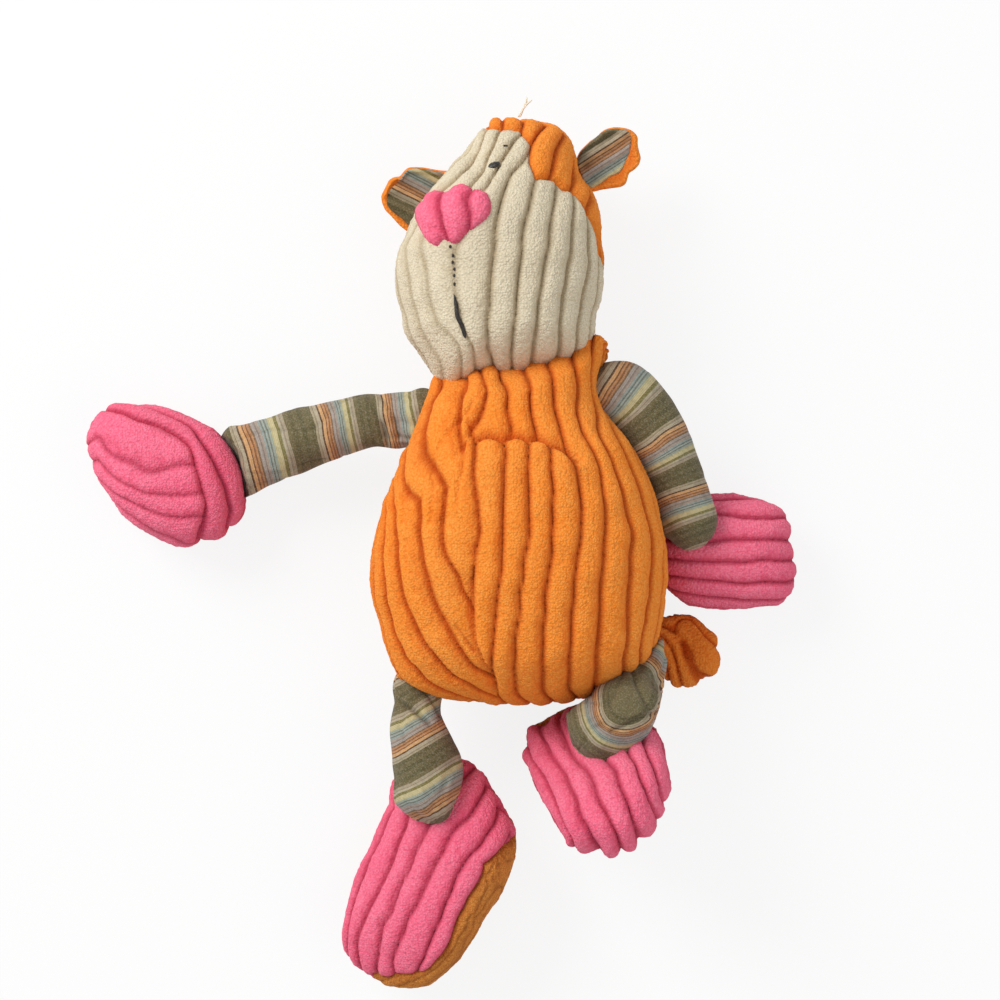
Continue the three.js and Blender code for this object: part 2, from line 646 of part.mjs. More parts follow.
const tailRoot = pivotOn(bodyForm, at(tailSeat.x, tailSeat.y, tailSeat.z), at(...tailWay));
const tailTurn = tailRoot.clone().add(at(tail.reach, 2)).setZ(tail.radius - floorCut);
const tailRoute = [tailRoot, tailRoot.clone().add(at(9, 6, -2)), tailTurn.clone().add(at(-4, tail.curlRadius)),
  tailTurn.clone().add(at(tail.curlRadius, 0)), tailTurn.clone().add(at(-2, -tail.curlRadius)),
  tailTurn.clone().add(at(-7, -tail.curlRadius - 0.5))];
const tailForm = limbForm(tailRoute, tail.radius, tail.radius, tail.radius, 12);
rootSocket.tail = ball(tailRoot, tail.radius + socketClearance);
addBody('tail', 'body', tailRoot);
addSleeve('tail', ['tail_cover', 'tail_stuffing'], tailForm, plushThickness / 2, 'orangePlush', [{ form: bodyForm }]);

// Body panels and fill

const sockets = [...Object.values(rootSocket), neckBowl()];
const socketed = (solid) => sockets.reduce((rest, socket) => rest.subtract(socket), solid);
const bodyPanels = sewnHalves(socketed(clothOf(bodyForm, plushThickness)), at(0, 0, bodySeamZ), up);
addPiece('body', 'body_front_panel', bodyPanels.above, 'orangePlush');
addPiece('body', 'body_back_panel', bodyPanels.below, 'orangePlush');
addPiece('body', 'body_stuffing', socketed(stuffingOf(bodyForm, plushThickness)), 'fibreFill');

// Head

/** What the cream face covers: the side that faces forward, less a lobe over each temple. */
function faceRegion(grow) {
  const front = halfSpace(headForm.spine[1].clone().addScaledVector(faceDirection, -grow), faceDirection);
  return templeLobes.reduce((region, { aside, fromChin, height, radius }) => (
    region.subtract(ball(neckPivot.clone().add(at(aside, fromChin, height)), radius - grow))
  ), front);
}

/** A flat outline in plan, as a prism through the front of the head. */
function outlinePrism(points) {
  const shape = new THREE.Shape(points.map(([x, y]) => new THREE.Vector2(x, y)));
  const prism = new THREE.ExtrudeGeometry(shape, { depth: head.depth, bevelEnabled: false, steps: 1 });
  return solidOf(prism.translate(0, 0, neckPivot.z));
}

/** A piece that lies on the face: a layer of the head's surface inside an outline. */
function onFace(points, thickness) {
  return headForm.solid(-seamGap - thickness).intersect(outlinePrism(points))
    .subtract(headForm.solid(-seamGap));
}

function ovalOutline(centre, width, height, tilt = 0, steps = 12) {
  return Array.from({ length: steps }, (_, step) => {
    const angle = (step / steps) * 2 * Math.PI;
    const [across, along] = [Math.cos(angle) * width / 2, Math.sin(angle) * height / 2];
    return [centre.x + across * Math.cos(tilt) - along * Math.sin(tilt),
      centre.y + across * Math.sin(tilt) + along * Math.cos(tilt)];
  });
}

const headCloth = clothOf(headForm, plushThickness);
addPiece('head', 'face_panel', headCloth.intersect(faceRegion(-seamGap / 2)), 'creamPlush');
addPiece('head', 'hood_panel', headCloth.subtract(faceRegion(seamGap / 2)), 'orangePlush');
addPiece('head', 'head_stuffing', stuffingOf(headForm, plushThickness), 'fibreFill');

const noseCentre = neckPivot.clone().add(at(noseOffset.x, noseOffset.y));
addPiece('head', 'nose_patch', onFace(ovalOutline(noseCentre, nose.width, nose.height, noseOffset.tilt, 14),
  nose.thickness),
  'pinkPlush');
const leftEyeCentre = neckPivot.clone().add(at(leftEyeOffset.x, leftEyeOffset.y));
const rightEyeCentre = neckPivot.clone().add(at(rightEyeOffset.x, rightEyeOffset.y));

/** A stitch of black thread: an oval on the face at an offset from a centre. */
function addStitch(name, size, centre, tilt, steps = 12) {
  addPiece('head', name, onFace(ovalOutline(centre, size.width, size.height, tilt, steps), size.thickness),
    'blackThread');
}

addStitch('left_eye', eye, leftEyeCentre, leftEyeOffset.tilt);
addStitch('right_eye', { ...eye, width: eye.width / 2 }, rightEyeCentre, rightEyeOffset.tilt);
addStitch('left_brow', brow, leftEyeCentre.clone().add(at(leftBrowOffset.x, leftBrowOffset.y)), leftBrowOffset.tilt,
  8);
addStitch('right_brow', brow, rightEyeCentre.clone().add(at(rightBrowOffset.x, rightBrowOffset.y)), rightBrowOffset.tilt,
  8);
const mouthOutline = [
  ...mouthRoute.map(([x, y]) => [neckPivot.x + x - mouth.width / 2, neckPivot.y + y]),
  ...mouthRoute.map(([x, y]) => [neckPivot.x + x + mouth.width / 2, neckPivot.y + y]).reverse(),
];
addPiece('head', 'mouth_stitch', onFace(mouthOutline, mouth.thickness), 'blackThread');

const crown = headForm.frameAt(head.length).centre.add(at(0, -threadRadius, 0));
const strand = (lean) => {
  const geometry = new THREE.ConeGeometry(threadRadius, threadLength, 6).translate(0, threadLength / 2, 0);
  geometry.rotateZ(-lean);
  return solidOf(geometry.translate(crown.x, crown.y, crown.z));
};
addPiece('head', 'crown_thread', strand(threadLeans[0]).add(strand(threadLeans[1]))
  .subtract(headForm.solid(-seamGap)), 'creamThread');

// Ears

function makeEar(side, from, direction, length) {
  const outward = direction.clone().normalize();
  const root = headForm.exitPoint(from, outward).addScaledVector(outward, ear.depth / 2 + ear.clearance);
  const form = new StuffedForm({
    spine: [root.clone().addScaledVector(outward, -ear.depth / 2),
      root.clone().addScaledVector(outward, length / 2), root.clone().addScaledVector(outward, length)],
    halfWidth: smoothValues([[0, ear.width / 2 - earRootNarrowing], [0.5, ear.width / 2], [1, ear.width / 2]]),
    halfDepth: smoothValues([[0, ear.depth / 2], [0.5, ear.depth / 2 - 1], [1, ear.depth / 2 - 1.5]]),
    startDome: ear.depth / 2,
    endDome: length / 2,
    columns: 14,
    rings: 7,
  });
  const bodyName = `${side}_ear`;
  addBody(bodyName, 'head', root);
  const foldAxis = up.clone().cross(outward);
  const whole = form.solid().subtract(sweptSolid(headForm.solid(-ear.clearance), root, foldAxis, earFolds));
  const hollow = (grow) => {
    const disc = new THREE.CylinderGeometry(ear.width / 2 - ear.rim + grow, ear.width / 2 - ear.rim + grow,
      ear.depth, 14).rotateX(Math.PI / 2);
    const middle = form.frameAt(form.length * 0.56).centre;
    return solidOf(disc.translate(middle.x, middle.y, middle.z + ear.depth / 2 + 0.5 - grow));
  };
  addPiece(bodyName, `${side}_ear_back`, whole.subtract(hollow(seamGap)), 'orangePlush');
  addPiece(bodyName, `${side}_ear_lining`, form.solid(0.5).intersect(hollow(0)), 'stripedJersey');
}

makeEar('left', at(leftEarSeat.x, leftEarSeat.y, neckPivot.z - leftEarSeat.drop), at(1, leftEarSeat.lean, 0),
  ear.length);
makeEar('right', at(rightEarSeat.x, rightEarSeat.y, neckPivot.z - rightEarSeat.drop), at(-1, rightEarSeat.lean, 0),
  ear.length);

export default bodies.body;
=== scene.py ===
import logging
import math
from dataclasses import dataclass
from enum import Enum
from typing import Callable, Sequence

import bpy
import numpy as np
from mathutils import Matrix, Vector


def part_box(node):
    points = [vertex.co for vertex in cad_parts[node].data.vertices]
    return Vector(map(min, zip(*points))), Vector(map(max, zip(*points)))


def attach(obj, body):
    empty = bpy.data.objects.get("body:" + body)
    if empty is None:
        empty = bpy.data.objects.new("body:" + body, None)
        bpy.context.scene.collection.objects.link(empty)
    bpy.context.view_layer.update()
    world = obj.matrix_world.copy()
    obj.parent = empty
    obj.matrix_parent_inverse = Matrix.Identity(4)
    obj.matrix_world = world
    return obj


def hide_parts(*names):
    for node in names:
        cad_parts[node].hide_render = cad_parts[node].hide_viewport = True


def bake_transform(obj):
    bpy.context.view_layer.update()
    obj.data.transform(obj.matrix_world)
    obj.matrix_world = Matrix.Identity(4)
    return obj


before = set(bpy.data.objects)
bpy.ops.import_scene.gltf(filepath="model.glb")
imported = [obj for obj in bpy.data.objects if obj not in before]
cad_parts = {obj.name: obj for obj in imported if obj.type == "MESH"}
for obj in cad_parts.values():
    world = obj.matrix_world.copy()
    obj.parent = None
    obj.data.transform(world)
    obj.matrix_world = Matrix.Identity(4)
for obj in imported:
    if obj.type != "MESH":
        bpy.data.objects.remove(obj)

LOG = logging.getLogger("plush_monkey")

Points = np.ndarray
Colour = tuple[float, float, float]
Place = tuple[float, float, float]
Pixel = tuple[float, float]
Run = tuple[Pixel, ...]
Valleys = tuple[tuple[float, Run], ...]

MILLIMETRE = 0.001
FULL_TURN = 2 * math.pi
QUARTER_TURN = math.pi / 2

# The photograph's frame, in millimetres: the camera over the toy, and the scale at the toy's middle height
CAMERA_X = -8.4
CAMERA_Y = 19.8
CAMERA_HEIGHT = 1300.0
MIDDLE_HEIGHT = 50.0
MILLIMETRES_PER_PIXEL = 0.44
IMAGE_MIDDLE = 500.0
SENSOR_WIDTH = 36.0

# Cloth, in millimetres: its wales, how they are pressed flat near the floor, and how it goes into a seam
WALE_PITCH = 10.8
WALE_DEPTH = 3.4
PRESSED_DEPTH = 0.5
PRESSED_HEIGHT = 12.0
SEAM_TUCK = 2.2
SEAM_REACH = 4.0
SEAM_HIDDEN = 3.0
SIDE_LIMIT = 8.0
CLOTH_FLOOR = 0.2
FILL_FLOOR = 3.0

# Sizes of a grid cell, in millimetres
GRID_STEP = 0.8
FINE_STEP = 0.7
FIT_STEP = 2.0
SLIM_FIT_STEP = 1.4
FILL_STEP = 2.4


def pixel_scale(height: Points) -> Points:
    """Millimetres to a pixel of the photograph at a height over the floor."""
    return MILLIMETRES_PER_PIXEL * (CAMERA_HEIGHT - height) / (CAMERA_HEIGHT - MIDDLE_HEIGHT)


def to_pixels(points: Points) -> Points:
    """Where points of the toy show in the photograph.

    Args:
        points: Places in millimetres, one to a row.

    Returns:
        Pixel columns and rows, one pair to a row.
    """
    scale = pixel_scale(points[:, 2])
    across = IMAGE_MIDDLE + (points[:, 0] - CAMERA_X) / scale
    down = IMAGE_MIDDLE - (points[:, 1] - CAMERA_Y) / scale
    return np.stack([across, down], axis=1)


def from_pixels(pixels: Points, height: Points) -> Points:
    """Places that show at these pixels.

    Args:
        pixels: Pixel columns and rows.
        height: The height of each place, in millimetres.

    Returns:
        The places in millimetres.
    """
    scale = pixel_scale(height)
    return np.stack([CAMERA_X + (pixels[:, 0] - IMAGE_MIDDLE) * scale,
                     CAMERA_Y - (pixels[:, 1] - IMAGE_MIDDLE) * scale, height], axis=1)


def smooth_step(low: float, high: float, value: Points) -> Points:
    """0 below low, 1 above high, and an eased rise between."""
    share = np.clip((value - low) / (high - low), 0, 1)
    return share * share * (3 - 2 * share)


def bell(gap: Points, width: float) -> Points:
    """1 where the gap is 0, falling to nothing past the width."""
    return np.exp(-(gap / width) ** 2)


def unit(vectors: Points) -> Points:
    """The vectors at length one."""
    return vectors / np.maximum(np.linalg.norm(vectors, axis=-1, keepdims=True), 1e-9)


def lumps(points: Points, size: float, seed: int) -> Points:
    """Smooth irregular unevenness, between about -1 and 1.

    Args:
        points: Places in millimetres.
        size: The distance between lumps.
        seed: Picks one of many such patterns.

    Returns:
        The unevenness at each place.
    """
    random = np.random.default_rng(seed)
    total = np.zeros(len(points))
    waves = 14
    for _ in range(waves):
        direction = unit(random.normal(size=3))
        pitch = size * random.uniform(0.75, 1.6)
        total += np.sin(points @ direction * FULL_TURN / pitch + random.uniform(0, FULL_TURN))
    return total / math.sqrt(waves) * 0.8


# Curves and forms


def curve(ends: tuple[Points, Points], leaving: Points, arriving: Points, share: Points) -> Points:
    """Points of a smooth curve between two ends.

    Args:
        ends: Where it starts and ends.
        leaving: Its slope at the start, over the whole stretch.
        arriving: Its slope at the end.
        share: Shares of the way, from 0 to 1.

    Returns:
        The points at those shares.
    """
    start, end = ends
    return (start + leaving * share + (3 * (end - start) - 2 * leaving - arriving) * share**2
            + (2 * (start - end) + leaving + arriving) * share**3)


@dataclass(frozen=True)
class Profile:
    """A smooth curve through (place, value) pairs, level beyond its ends."""

    pairs: tuple[tuple[float, float], ...]

    def __call__(self, place: Points) -> Points:
        """The curve's values.

        Args:
            place: Places along the curve.

        Returns:
            The value at each place.
        """
        places, values = np.array(self.pairs, float).T
        last = len(places) - 1
        place = np.clip(place, places[0], places[-1])
        low = np.clip(np.searchsorted(places, place, side="right") - 1, 0, last - 1)
        high = low + 1
        start, end = places[low], places[high]
        before = np.where(low > 0, places[np.maximum(low - 1, 0)], 2 * start - end)
        after = np.where(high < last, places[np.minimum(high + 1, last)], 2 * end - start)
        value_before = np.where(low > 0, values[np.maximum(low - 1, 0)], values[high])
        value_after = np.where(high < last, values[np.minimum(high + 1, last)], values[low])
        half_rise = (values[high] - values[low]) / 2
        leaving = half_rise + (values[low] - value_before) * (end - start) / 2 / (start - before)
        arriving = half_rise + (value_after - values[high]) * (end - start) / 2 / (after - end)
        return curve((values[low], values[high]), leaving, arriving, (place - start) / (end - start))


class Spine:
    """A smooth curve through points, read by the distance along it."""

    SAMPLES = 160

    def __init__(self, points: Sequence[Sequence[float]]) -> None:
        """Samples the curve.

        Args:
            points: The points that it passes through, in millimetres.
        """
        knots = np.array(points, float)
        knots = np.vstack([2 * knots[0] - knots[1], knots, 2 * knots[-1] - knots[-2]])
        stretches = [self._stretch(knots[i:i + 4]) for i in range(len(knots) - 3)]
        self.samples = np.vstack([*stretches, knots[-2:-1]])
        steps = np.linalg.norm(np.diff(self.samples, axis=0), axis=1)
        self.distances = np.concatenate([[0.0], np.cumsum(steps)])
        self.length = float(self.distances[-1])

    def _stretch(self, knots: Points) -> Points:
        """Samples a stretch of the curve.

        Args:
            knots: Four knots, of which the stretch joins the middle two.

        Returns:
            The samples, without the last knot.
        """
        before, at, after = np.sqrt(np.linalg.norm(np.diff(knots, axis=0), axis=1))
        first, start, end, last = knots
        leaving = (start - first) / before - (end - first) / (before + at) + (end - start) / at
        arriving = (end - start) / at - (last - start) / (at + after) + (last - end) / after
        share = (np.arange(self.SAMPLES) / self.SAMPLES)[:, None]
        return curve((start, end), leaving * at, arriving * at, share)

    def at(self, distance: Points) -> tuple[Points, Points]:
        """Places on the curve, and its direction there.

        Args:
            distance: Distances along the curve.

        Returns:
            The places and the unit tangents, one to a row.
        """
        places = np.stack([np.interp(distance, self.distances, axis) for axis in self.samples.T], axis=1)
        slopes = np.gradient(self.samples, self.distances, axis=0, edge_order=1)
        tangents = np.stack([np.interp(distance, self.distances, axis) for axis in slopes.T], axis=1)
        return places, unit(tangents)


@dataclass
class Surface:
    """A closed grid of points: rings round a spine, and a pole at each end.

    Each point also has its distance along the cloth from the middle line of its own side and from the
    start, its angle round the spine and its distance along the spine.
    """

    points: Points
    normals: Points
    rings: int
    columns: int
    aside: Points
    along: Points
    angle: Points
    distance: Points

    def nearest(self, pixels: Sequence[Pixel]) -> Points:
        """Numbers of the points on the side towards the camera that show at these pixels.

        Args:
            pixels: Places in the photograph.

        Returns:
            One point number to each pixel.
        """
        shown = np.flatnonzero(self.normals[:, 2] > 0.02)
        seen = to_pixels(self.points[shown])
        targets = np.array(pixels, float)
        gaps = ((targets[:, None, :] - seen[None, :, :]) ** 2).sum(axis=2)
        return shown[gaps.argmin(axis=1)]

    def displaced(self, lift: Points, floor: float) -> Points:
        """The points moved out along their normals by a lift each, and kept above a floor."""
        moved = self.points + self.normals * lift[:, None]
        return np.stack([moved[:, 0], moved[:, 1], np.maximum(moved[:, 2], floor)], axis=1)

    def faces(self, keep: Points | None = None) -> tuple[Points, list[list[int]]]:
        """The faces whose corners are all kept, and the points that they use.

        Args:
            keep: Whether each point stays; all do where this is left out.

        Returns:
            The numbers of the points used, and the faces renumbered to them.
        """
        keep = np.ones(len(self.points), bool) if keep is None else keep
        kept = [part[keep[part].all(axis=1)] for part in ring_faces(self.rings, self.columns)]
        used = np.unique(np.concatenate([part.reshape(-1) for part in kept]))
        renumber = np.full(len(self.points), -1)
        renumber[used] = np.arange(len(used))
        return used, [face for part in kept for face in renumber[part].tolist()]


@dataclass
class StuffedForm:
    """Rounded sections strung on a curved spine, domed at both ends, as in the part's source."""

    spine_points: Sequence[Sequence[float]]
    half_width: Profile
    half_depth: Profile
    start_dome: float
    end_dome: float
    depth_axis: Place = (0, 0, 1)
    roundness: float = 2.0
    bulge: Callable[[Points, Points], Points] | None = None
    fit: Callable[[Points, Points], Points] | None = None

    def __post_init__(self) -> None:
        """Makes the spine."""
        self.spine = Spine(self.spine_points)

    def frames(self, distance: Points) -> tuple[Points, Points, Points]:
        """Where sections lie.

        Args:
            distance: Their distances along the spine.

        Returns:
            The middle of each section, and the directions across and above it.
        """
        centre, tangent = self.spine.at(distance)
        side = unit(np.cross(tangent, np.array(self.depth_axis, float)))
        return centre, side, unit(np.cross(side, tangent))

    def _rings(self, step: float, inset: float) -> tuple[Points, Points]:
        """Spaces the rings of the grid.

        Args:
            step: The size of a grid cell in millimetres.
            inset: How far the surface is drawn in.

        Returns:
            The rings' distances along the spine, and the share of its full size that each has.
        """
        length = self.spine.length
        distances, domes = [], []
        for dome, place, is_end in ((self.start_dome, 0.0, False), (self.end_dome, 1.0, True)):
            reach = float(self.half_width(np.array([place]))[0])
            arc = QUARTER_TURN * math.sqrt((dome**2 + reach**2) / 2)
            turn = np.linspace(0, QUARTER_TURN, max(6, round(arc / step)) + 1)[1:]
            offset = inset + (dome - inset) * (1 - np.cos(turn))
            distances.append((length - offset)[::-1] if is_end else offset)
            domes.append(np.sin(turn)[::-1] if is_end else np.sin(turn))
        span = length - self.start_dome - self.end_dome
        middle = np.linspace(0, 1, max(2, round(span / step)) + 1)[1:-1] * span + self.start_dome
        distance = np.concatenate([distances[0], middle, distances[1]])
        return distance, np.concatenate([domes[0], np.ones_like(middle), domes[1]])

    def surface(self, step: float = GRID_STEP, inset: float = 0.0) -> Surface:
        """The form's whole surface as a dense grid.

        Args:
            step: The size of a grid cell in millimetres.
            inset: How far the surface is drawn in.

        Returns:
            The grid, with each point's distances from the middle line of its own side.
        """
        distance, dome = self._rings(step, inset)
        length = self.spine.length
        share = distance / length
        widest = float(self.half_width(share).max() + self.half_depth(share).max()) / 2
        columns = 4 * round(FULL_TURN * widest / step / 4)
        angle = np.arange(columns) / columns * FULL_TURN
        centre, side, above = self.frames(distance)
        power = 2 / self.roundness
        cosine, sine = np.cos(angle), np.sin(angle)
        across = np.sign(cosine) * np.abs(cosine) ** power
        rise = np.sign(sine) * np.abs(sine) ** power
        width = (self.half_width(share) - inset) * dome
        depth = (self.half_depth(share) - inset) * dome
        offset = (side[:, None, :] * (width[:, None] * across)[..., None]
                  + above[:, None, :] * (depth[:, None] * rise)[..., None])
        ring_distance = np.repeat(distance[:, None], columns, axis=1)
        ring_angle = np.repeat(angle[None, :], len(distance), axis=0)
        if self.bulge:
            swell = self.bulge(ring_distance, ring_angle) * dome[:, None]
            offset = offset + unit(offset) * swell[..., None]
        grid = centre[:, None, :] + offset
        ends = np.array([inset, length - inset])
        poles, _, _ = self.frames(ends)
        if self.fit:
            grid = self.fit(grid.reshape(-1, 3), ring_distance.reshape(-1)).reshape(grid.shape)
            poles = self.fit(poles, ends)
        return self._with_fields(grid, poles, ring_distance, ring_angle)

    @staticmethod
    def _with_fields(grid: Points, poles: Points, distance: Points, angle: Points) -> Surface:
        """Adds normals and unrolled distances to a grid of points.

        Args:
            grid: The points, by ring and column.
            poles: The two end points.
            distance: Each point's distance along the spine.
            angle: Its angle round the spine.

        Returns:
            The whole surface.
        """
        rings, columns, _ = grid.shape
        round_it = np.roll(grid, -1, axis=1) - np.roll(grid, 1, axis=1)
        padded = np.concatenate([np.broadcast_to(poles[0], (1, columns, 3)), grid,
                                 np.broadcast_to(poles[1], (1, columns, 3))])
        normals = unit(np.cross(round_it, padded[2:] - padded[:-2]))
        outward = grid - grid.mean(axis=1, keepdims=True)
        flip = np.sign((normals * outward).sum(axis=(1, 2), keepdims=True))
        normals = normals * np.where(flip == 0, 1, flip)
        steps = np.linalg.norm(np.roll(grid, -1, axis=1) - grid, axis=2)
        run = np.concatenate([np.zeros((rings, 1)), np.cumsum(steps, axis=1)[:, :-1]], axis=1)
        quarter = columns // 4
        upper = run[:, quarter:quarter + 1] - run
        lower = run - run[:, 3 * quarter:3 * quarter + 1]
        climb = np.cumsum(np.linalg.norm(np.diff(padded[:, quarter, :], axis=0), axis=1))
        along = np.repeat(climb[:rings, None], columns, axis=1)
        axis = unit(poles[1] - poles[0])
        fields = ((np.where(angle <= math.pi, upper, lower), 0.0, 0.0), (along, 0.0, climb[-1]),
                  (angle, 0.0, 0.0), (distance, distance[0, 0], distance[-1, 0]))
        return Surface(
            np.vstack([grid.reshape(-1, 3), poles]), np.vstack([normals.reshape(-1, 3), -axis, axis]),
            rings, columns,
            *[np.concatenate([values.reshape(-1), [first, last]]) for values, first, last in fields],
        )


# Forms drawn to the outlines that the photograph shows


def cross(first: Points, second: Points) -> Points:
    """The cross product of flat vectors."""
    return first[..., 0] * second[..., 1] - first[..., 1] * second[..., 0]


def cast(start: Points, direction: Points, run: Run) -> Points:
    """How far rays run before they meet a broken line.

    Args:
        start: Where the rays start, in pixels: one place for all, or one for each.
        direction: Their unit directions.
        run: The broken line.

    Returns:
        The distance of the first hit, or NaN where there is none.
    """
    corners = np.array(run, float)
    best = np.full(len(direction), np.inf)
    for corner, reach in zip(corners[:-1], np.diff(corners, axis=0)):
        lean = cross(direction, reach)
        lean = np.where(np.abs(lean) < 1e-9, 1e-9, lean)
        away = cross(corner - start, reach) / lean
        share = cross(corner - start, direction) / lean
        hit = (away > 0) & (share >= 0) & (share <= 1)
        best = np.where(hit & (away < best), away, best)
    return np.where(np.isfinite(best), best, np.nan)


def shifted(points: Points, shift: Points) -> Points:
    """Points moved in the picture by a shift in pixels, at their own heights."""
    scale = pixel_scale(points[:, 2])
    return points + np.stack([shift[:, 0] * scale, -shift[:, 1] * scale, np.zeros(len(points))], axis=1)


def eased(values: Points, width: int, closed: bool) -> Points:
    """Values averaged with their neighbours, up to a width away on each side."""
    padded = np.pad(values, width, mode="wrap" if closed else "edge")
    return np.convolve(padded, np.ones(2 * width + 1) / (2 * width + 1), mode="valid")


class RoundFit:
    """Draws a rounded form out or in, about its middle, to a measured outline."""

    DIRECTIONS = 120
    MOST = 0.3

    def __init__(self, surface: Surface, middle: Pixel, outline: Run) -> None:
        """Compares the form's own outline with the measured one.

        Args:
            surface: The form before it is fitted.
            middle: The pixel that stays in place.
            outline: The measured outline, open where something hides it.
        """
        self.middle = np.array(middle, float)
        self.turns = np.linspace(-math.pi, math.pi, self.DIRECTIONS, endpoint=False)
        offset = to_pixels(surface.points) - self.middle
        turn = np.arctan2(offset[:, 1], offset[:, 0])
        place = np.round((turn + math.pi) / FULL_TURN * self.DIRECTIONS).astype(int) % self.DIRECTIONS
        self.own = np.zeros(self.DIRECTIONS)
        np.maximum.at(self.own, place, np.linalg.norm(offset, axis=1))
        direction = np.stack([np.cos(self.turns), np.sin(self.turns)], axis=1)
        wanted = cast(self.middle, direction, outline)
        ratio = np.where(np.isnan(wanted), 1, wanted / self.own)
        self.ratio = eased(np.clip(ratio, 1 - self.MOST, 1 + self.MOST), 1, True)

    def __call__(self, points: Points, distance: Points) -> Points:
        """Moves points in the picture, most at the outline and not at all at the middle.

        Args:
            points: Places in millimetres.
            distance: Their distances along the spine, which aren't needed here.

        Returns:
            The moved points.
        """
        offset = to_pixels(points) - self.middle
        turn = np.arctan2(offset[:, 1], offset[:, 0])
        own = np.interp(turn, self.turns, self.own, period=FULL_TURN)
        ratio = np.interp(turn, self.turns, self.ratio, period=FULL_TURN)
        weight = np.clip(np.linalg.norm(offset, axis=1) / own, 0, 1) ** 1.5
        return shifted(points, offset * ((ratio - 1) * weight)[:, None])


class TubeFit:
    """Shifts and widens a form, section by section, to the edges measured on both its sides."""

    NARROWEST = 0.55
    WIDEST = 1.6

    def __init__(self, surface: Surface, edges: Run, smoothing: int = 4) -> None:
        """Compares each section's width with the measured edges.

        Args:
            surface: The form before it is fitted.
            edges: The measured outline, open where something hides it.
            smoothing: Over how many sections on each side the result is averaged.
        """
        shape = (surface.rings, surface.columns)
        pixels = to_pixels(surface.points[:-2]).reshape(*shape, 2)
        self.distance = surface.distance[:-2].reshape(shape)[:, 0]
        self.middle = pixels.mean(axis=1)
        path = np.gradient(self.middle, axis=0)
        self.side = unit(np.stack([path[:, 1], -path[:, 0]], axis=1))
        across = ((pixels - self.middle[:, None, :]) * self.side[:, None, :]).sum(axis=2)
        high, low = across.max(axis=1), across.min(axis=1)
        wanted_high = self._held(cast(self.middle, self.side, edges), high)
        wanted_low = -self._held(cast(self.middle, -self.side, edges), -low)
        stretch = (wanted_high - wanted_low) / (high - low)
        self.stretch = eased(stretch, smoothing, False)
        self.shift = eased(wanted_high - stretch * high, smoothing, False)

    def _held(self, wanted: Points, own: Points) -> Points:
        """The wanted reach, or the form's own where none is measured, within limits."""
        wanted = np.where(np.isnan(wanted), own, wanted)
        return np.clip(wanted, self.NARROWEST * own, self.WIDEST * own)

    def __call__(self, points: Points, distance: Points) -> Points:
        """Moves points across the form in the picture.

        Args:
            points: Places in millimetres.
            distance: Their distances along the spine.

        Returns:
            The moved points.
        """
        at = [np.interp(distance, self.distance, axis) for axis in (*self.middle.T, *self.side.T)]
        middle, side = np.stack(at[:2], axis=1), np.stack(at[2:], axis=1)
        across = ((to_pixels(points) - middle) * side).sum(axis=1)
        stretch = np.interp(distance, self.distance, self.stretch)
        shift = np.interp(distance, self.distance, self.shift)
        return shifted(points, side * ((stretch - 1) * across + shift)[:, None])


@dataclass(frozen=True)
class Tucked:
    """A fit that also lowers whatever lies under another piece's outline, in millimetres."""

    fit: Callable[[Points, Points], Points]
    outline: Run
    depth: float
    slope: tuple[float, float]
    lowest: float = 14.0

    def __call__(self, points: Points, distance: Points) -> Points:
        """Fits the points, then lowers the hidden ones.

        Args:
            points: Places in millimetres.
            distance: Their distances along the spine.

        Returns:
            The moved points.
        """
        fitted = self.fit(points, distance)
        hidden = outline_gap(to_pixels(fitted), self.outline) * MILLIMETRES_PER_PIXEL
        room = np.clip(fitted[:, 2] - self.lowest, 0, self.depth)
        fitted[:, 2] -= room * smooth_step(*self.slope, hidden)
        return fitted


# Wales: where the ribs of the cloth run


class WaleMap:
    """Numbers the wales over a cloth, through valleys measured in the photograph."""

    SOFTNESS = 0.5
    SPACING = 15.0
    CHUNK = 20000

    def __init__(self, surface: Surface, valleys: Valleys, by_picture: bool = False) -> None:
        """Fits a smooth sheet through the valleys' numbers.

        Args:
            surface: The form that the cloth covers.
            valleys: Each valley's number and its run in pixels.
            by_picture: Whether the sheet lies over the picture instead of over the unrolled cloth.
        """
        self.by_picture = by_picture
        unrolled = self._unrolled(surface)
        places, numbers = [], []
        for number, run in valleys:
            chosen = surface.nearest(spread(run, self.SPACING))
            places.append(unrolled[chosen])
            numbers.append(np.full(len(chosen), float(number)))
        self.places = np.vstack(places)
        values = np.concatenate(numbers)
        count = len(values)
        kernel = self._kernel(self.places) + np.eye(count) * self.SOFTNESS
        plane = np.hstack([np.ones((count, 1)), self.places])
        system = np.block([[kernel, plane], [plane.T, np.zeros((3, 3))]])
        self.weights = np.linalg.lstsq(system, np.concatenate([values, np.zeros(3)]), rcond=None)[0]

    def _kernel(self, at: Points) -> Points:
        """The bending of a thin sheet between these places and the fitted ones."""
        square = ((at[:, None, :] - self.places[None, :, :]) ** 2).sum(axis=2)
        return 0.5 * square * np.log(np.maximum(square, 1e-9))

    def _unrolled(self, surface: Surface) -> Points:
        """Flat places of a surface's points, in millimetres."""
        flat = np.stack([surface.aside, surface.along], axis=1)
        return to_pixels(surface.points) * MILLIMETRES_PER_PIXEL if self.by_picture else flat

    def phase(self, surface: Surface) -> Points:
        """Wale numbers at every point of a surface.

        Args:
            surface: The form that the cloth covers.

        Returns:
            The numbers, whole along the valleys.
        """
        at = self._unrolled(surface)
        result = np.empty(len(at))
        for first in range(0, len(at), self.CHUNK):
            part = at[first:first + self.CHUNK]
            plane = np.hstack([np.ones((len(part), 1)), part])
            result[first:first + self.CHUNK] = np.hstack([self._kernel(part), plane]) @ self.weights
        return result


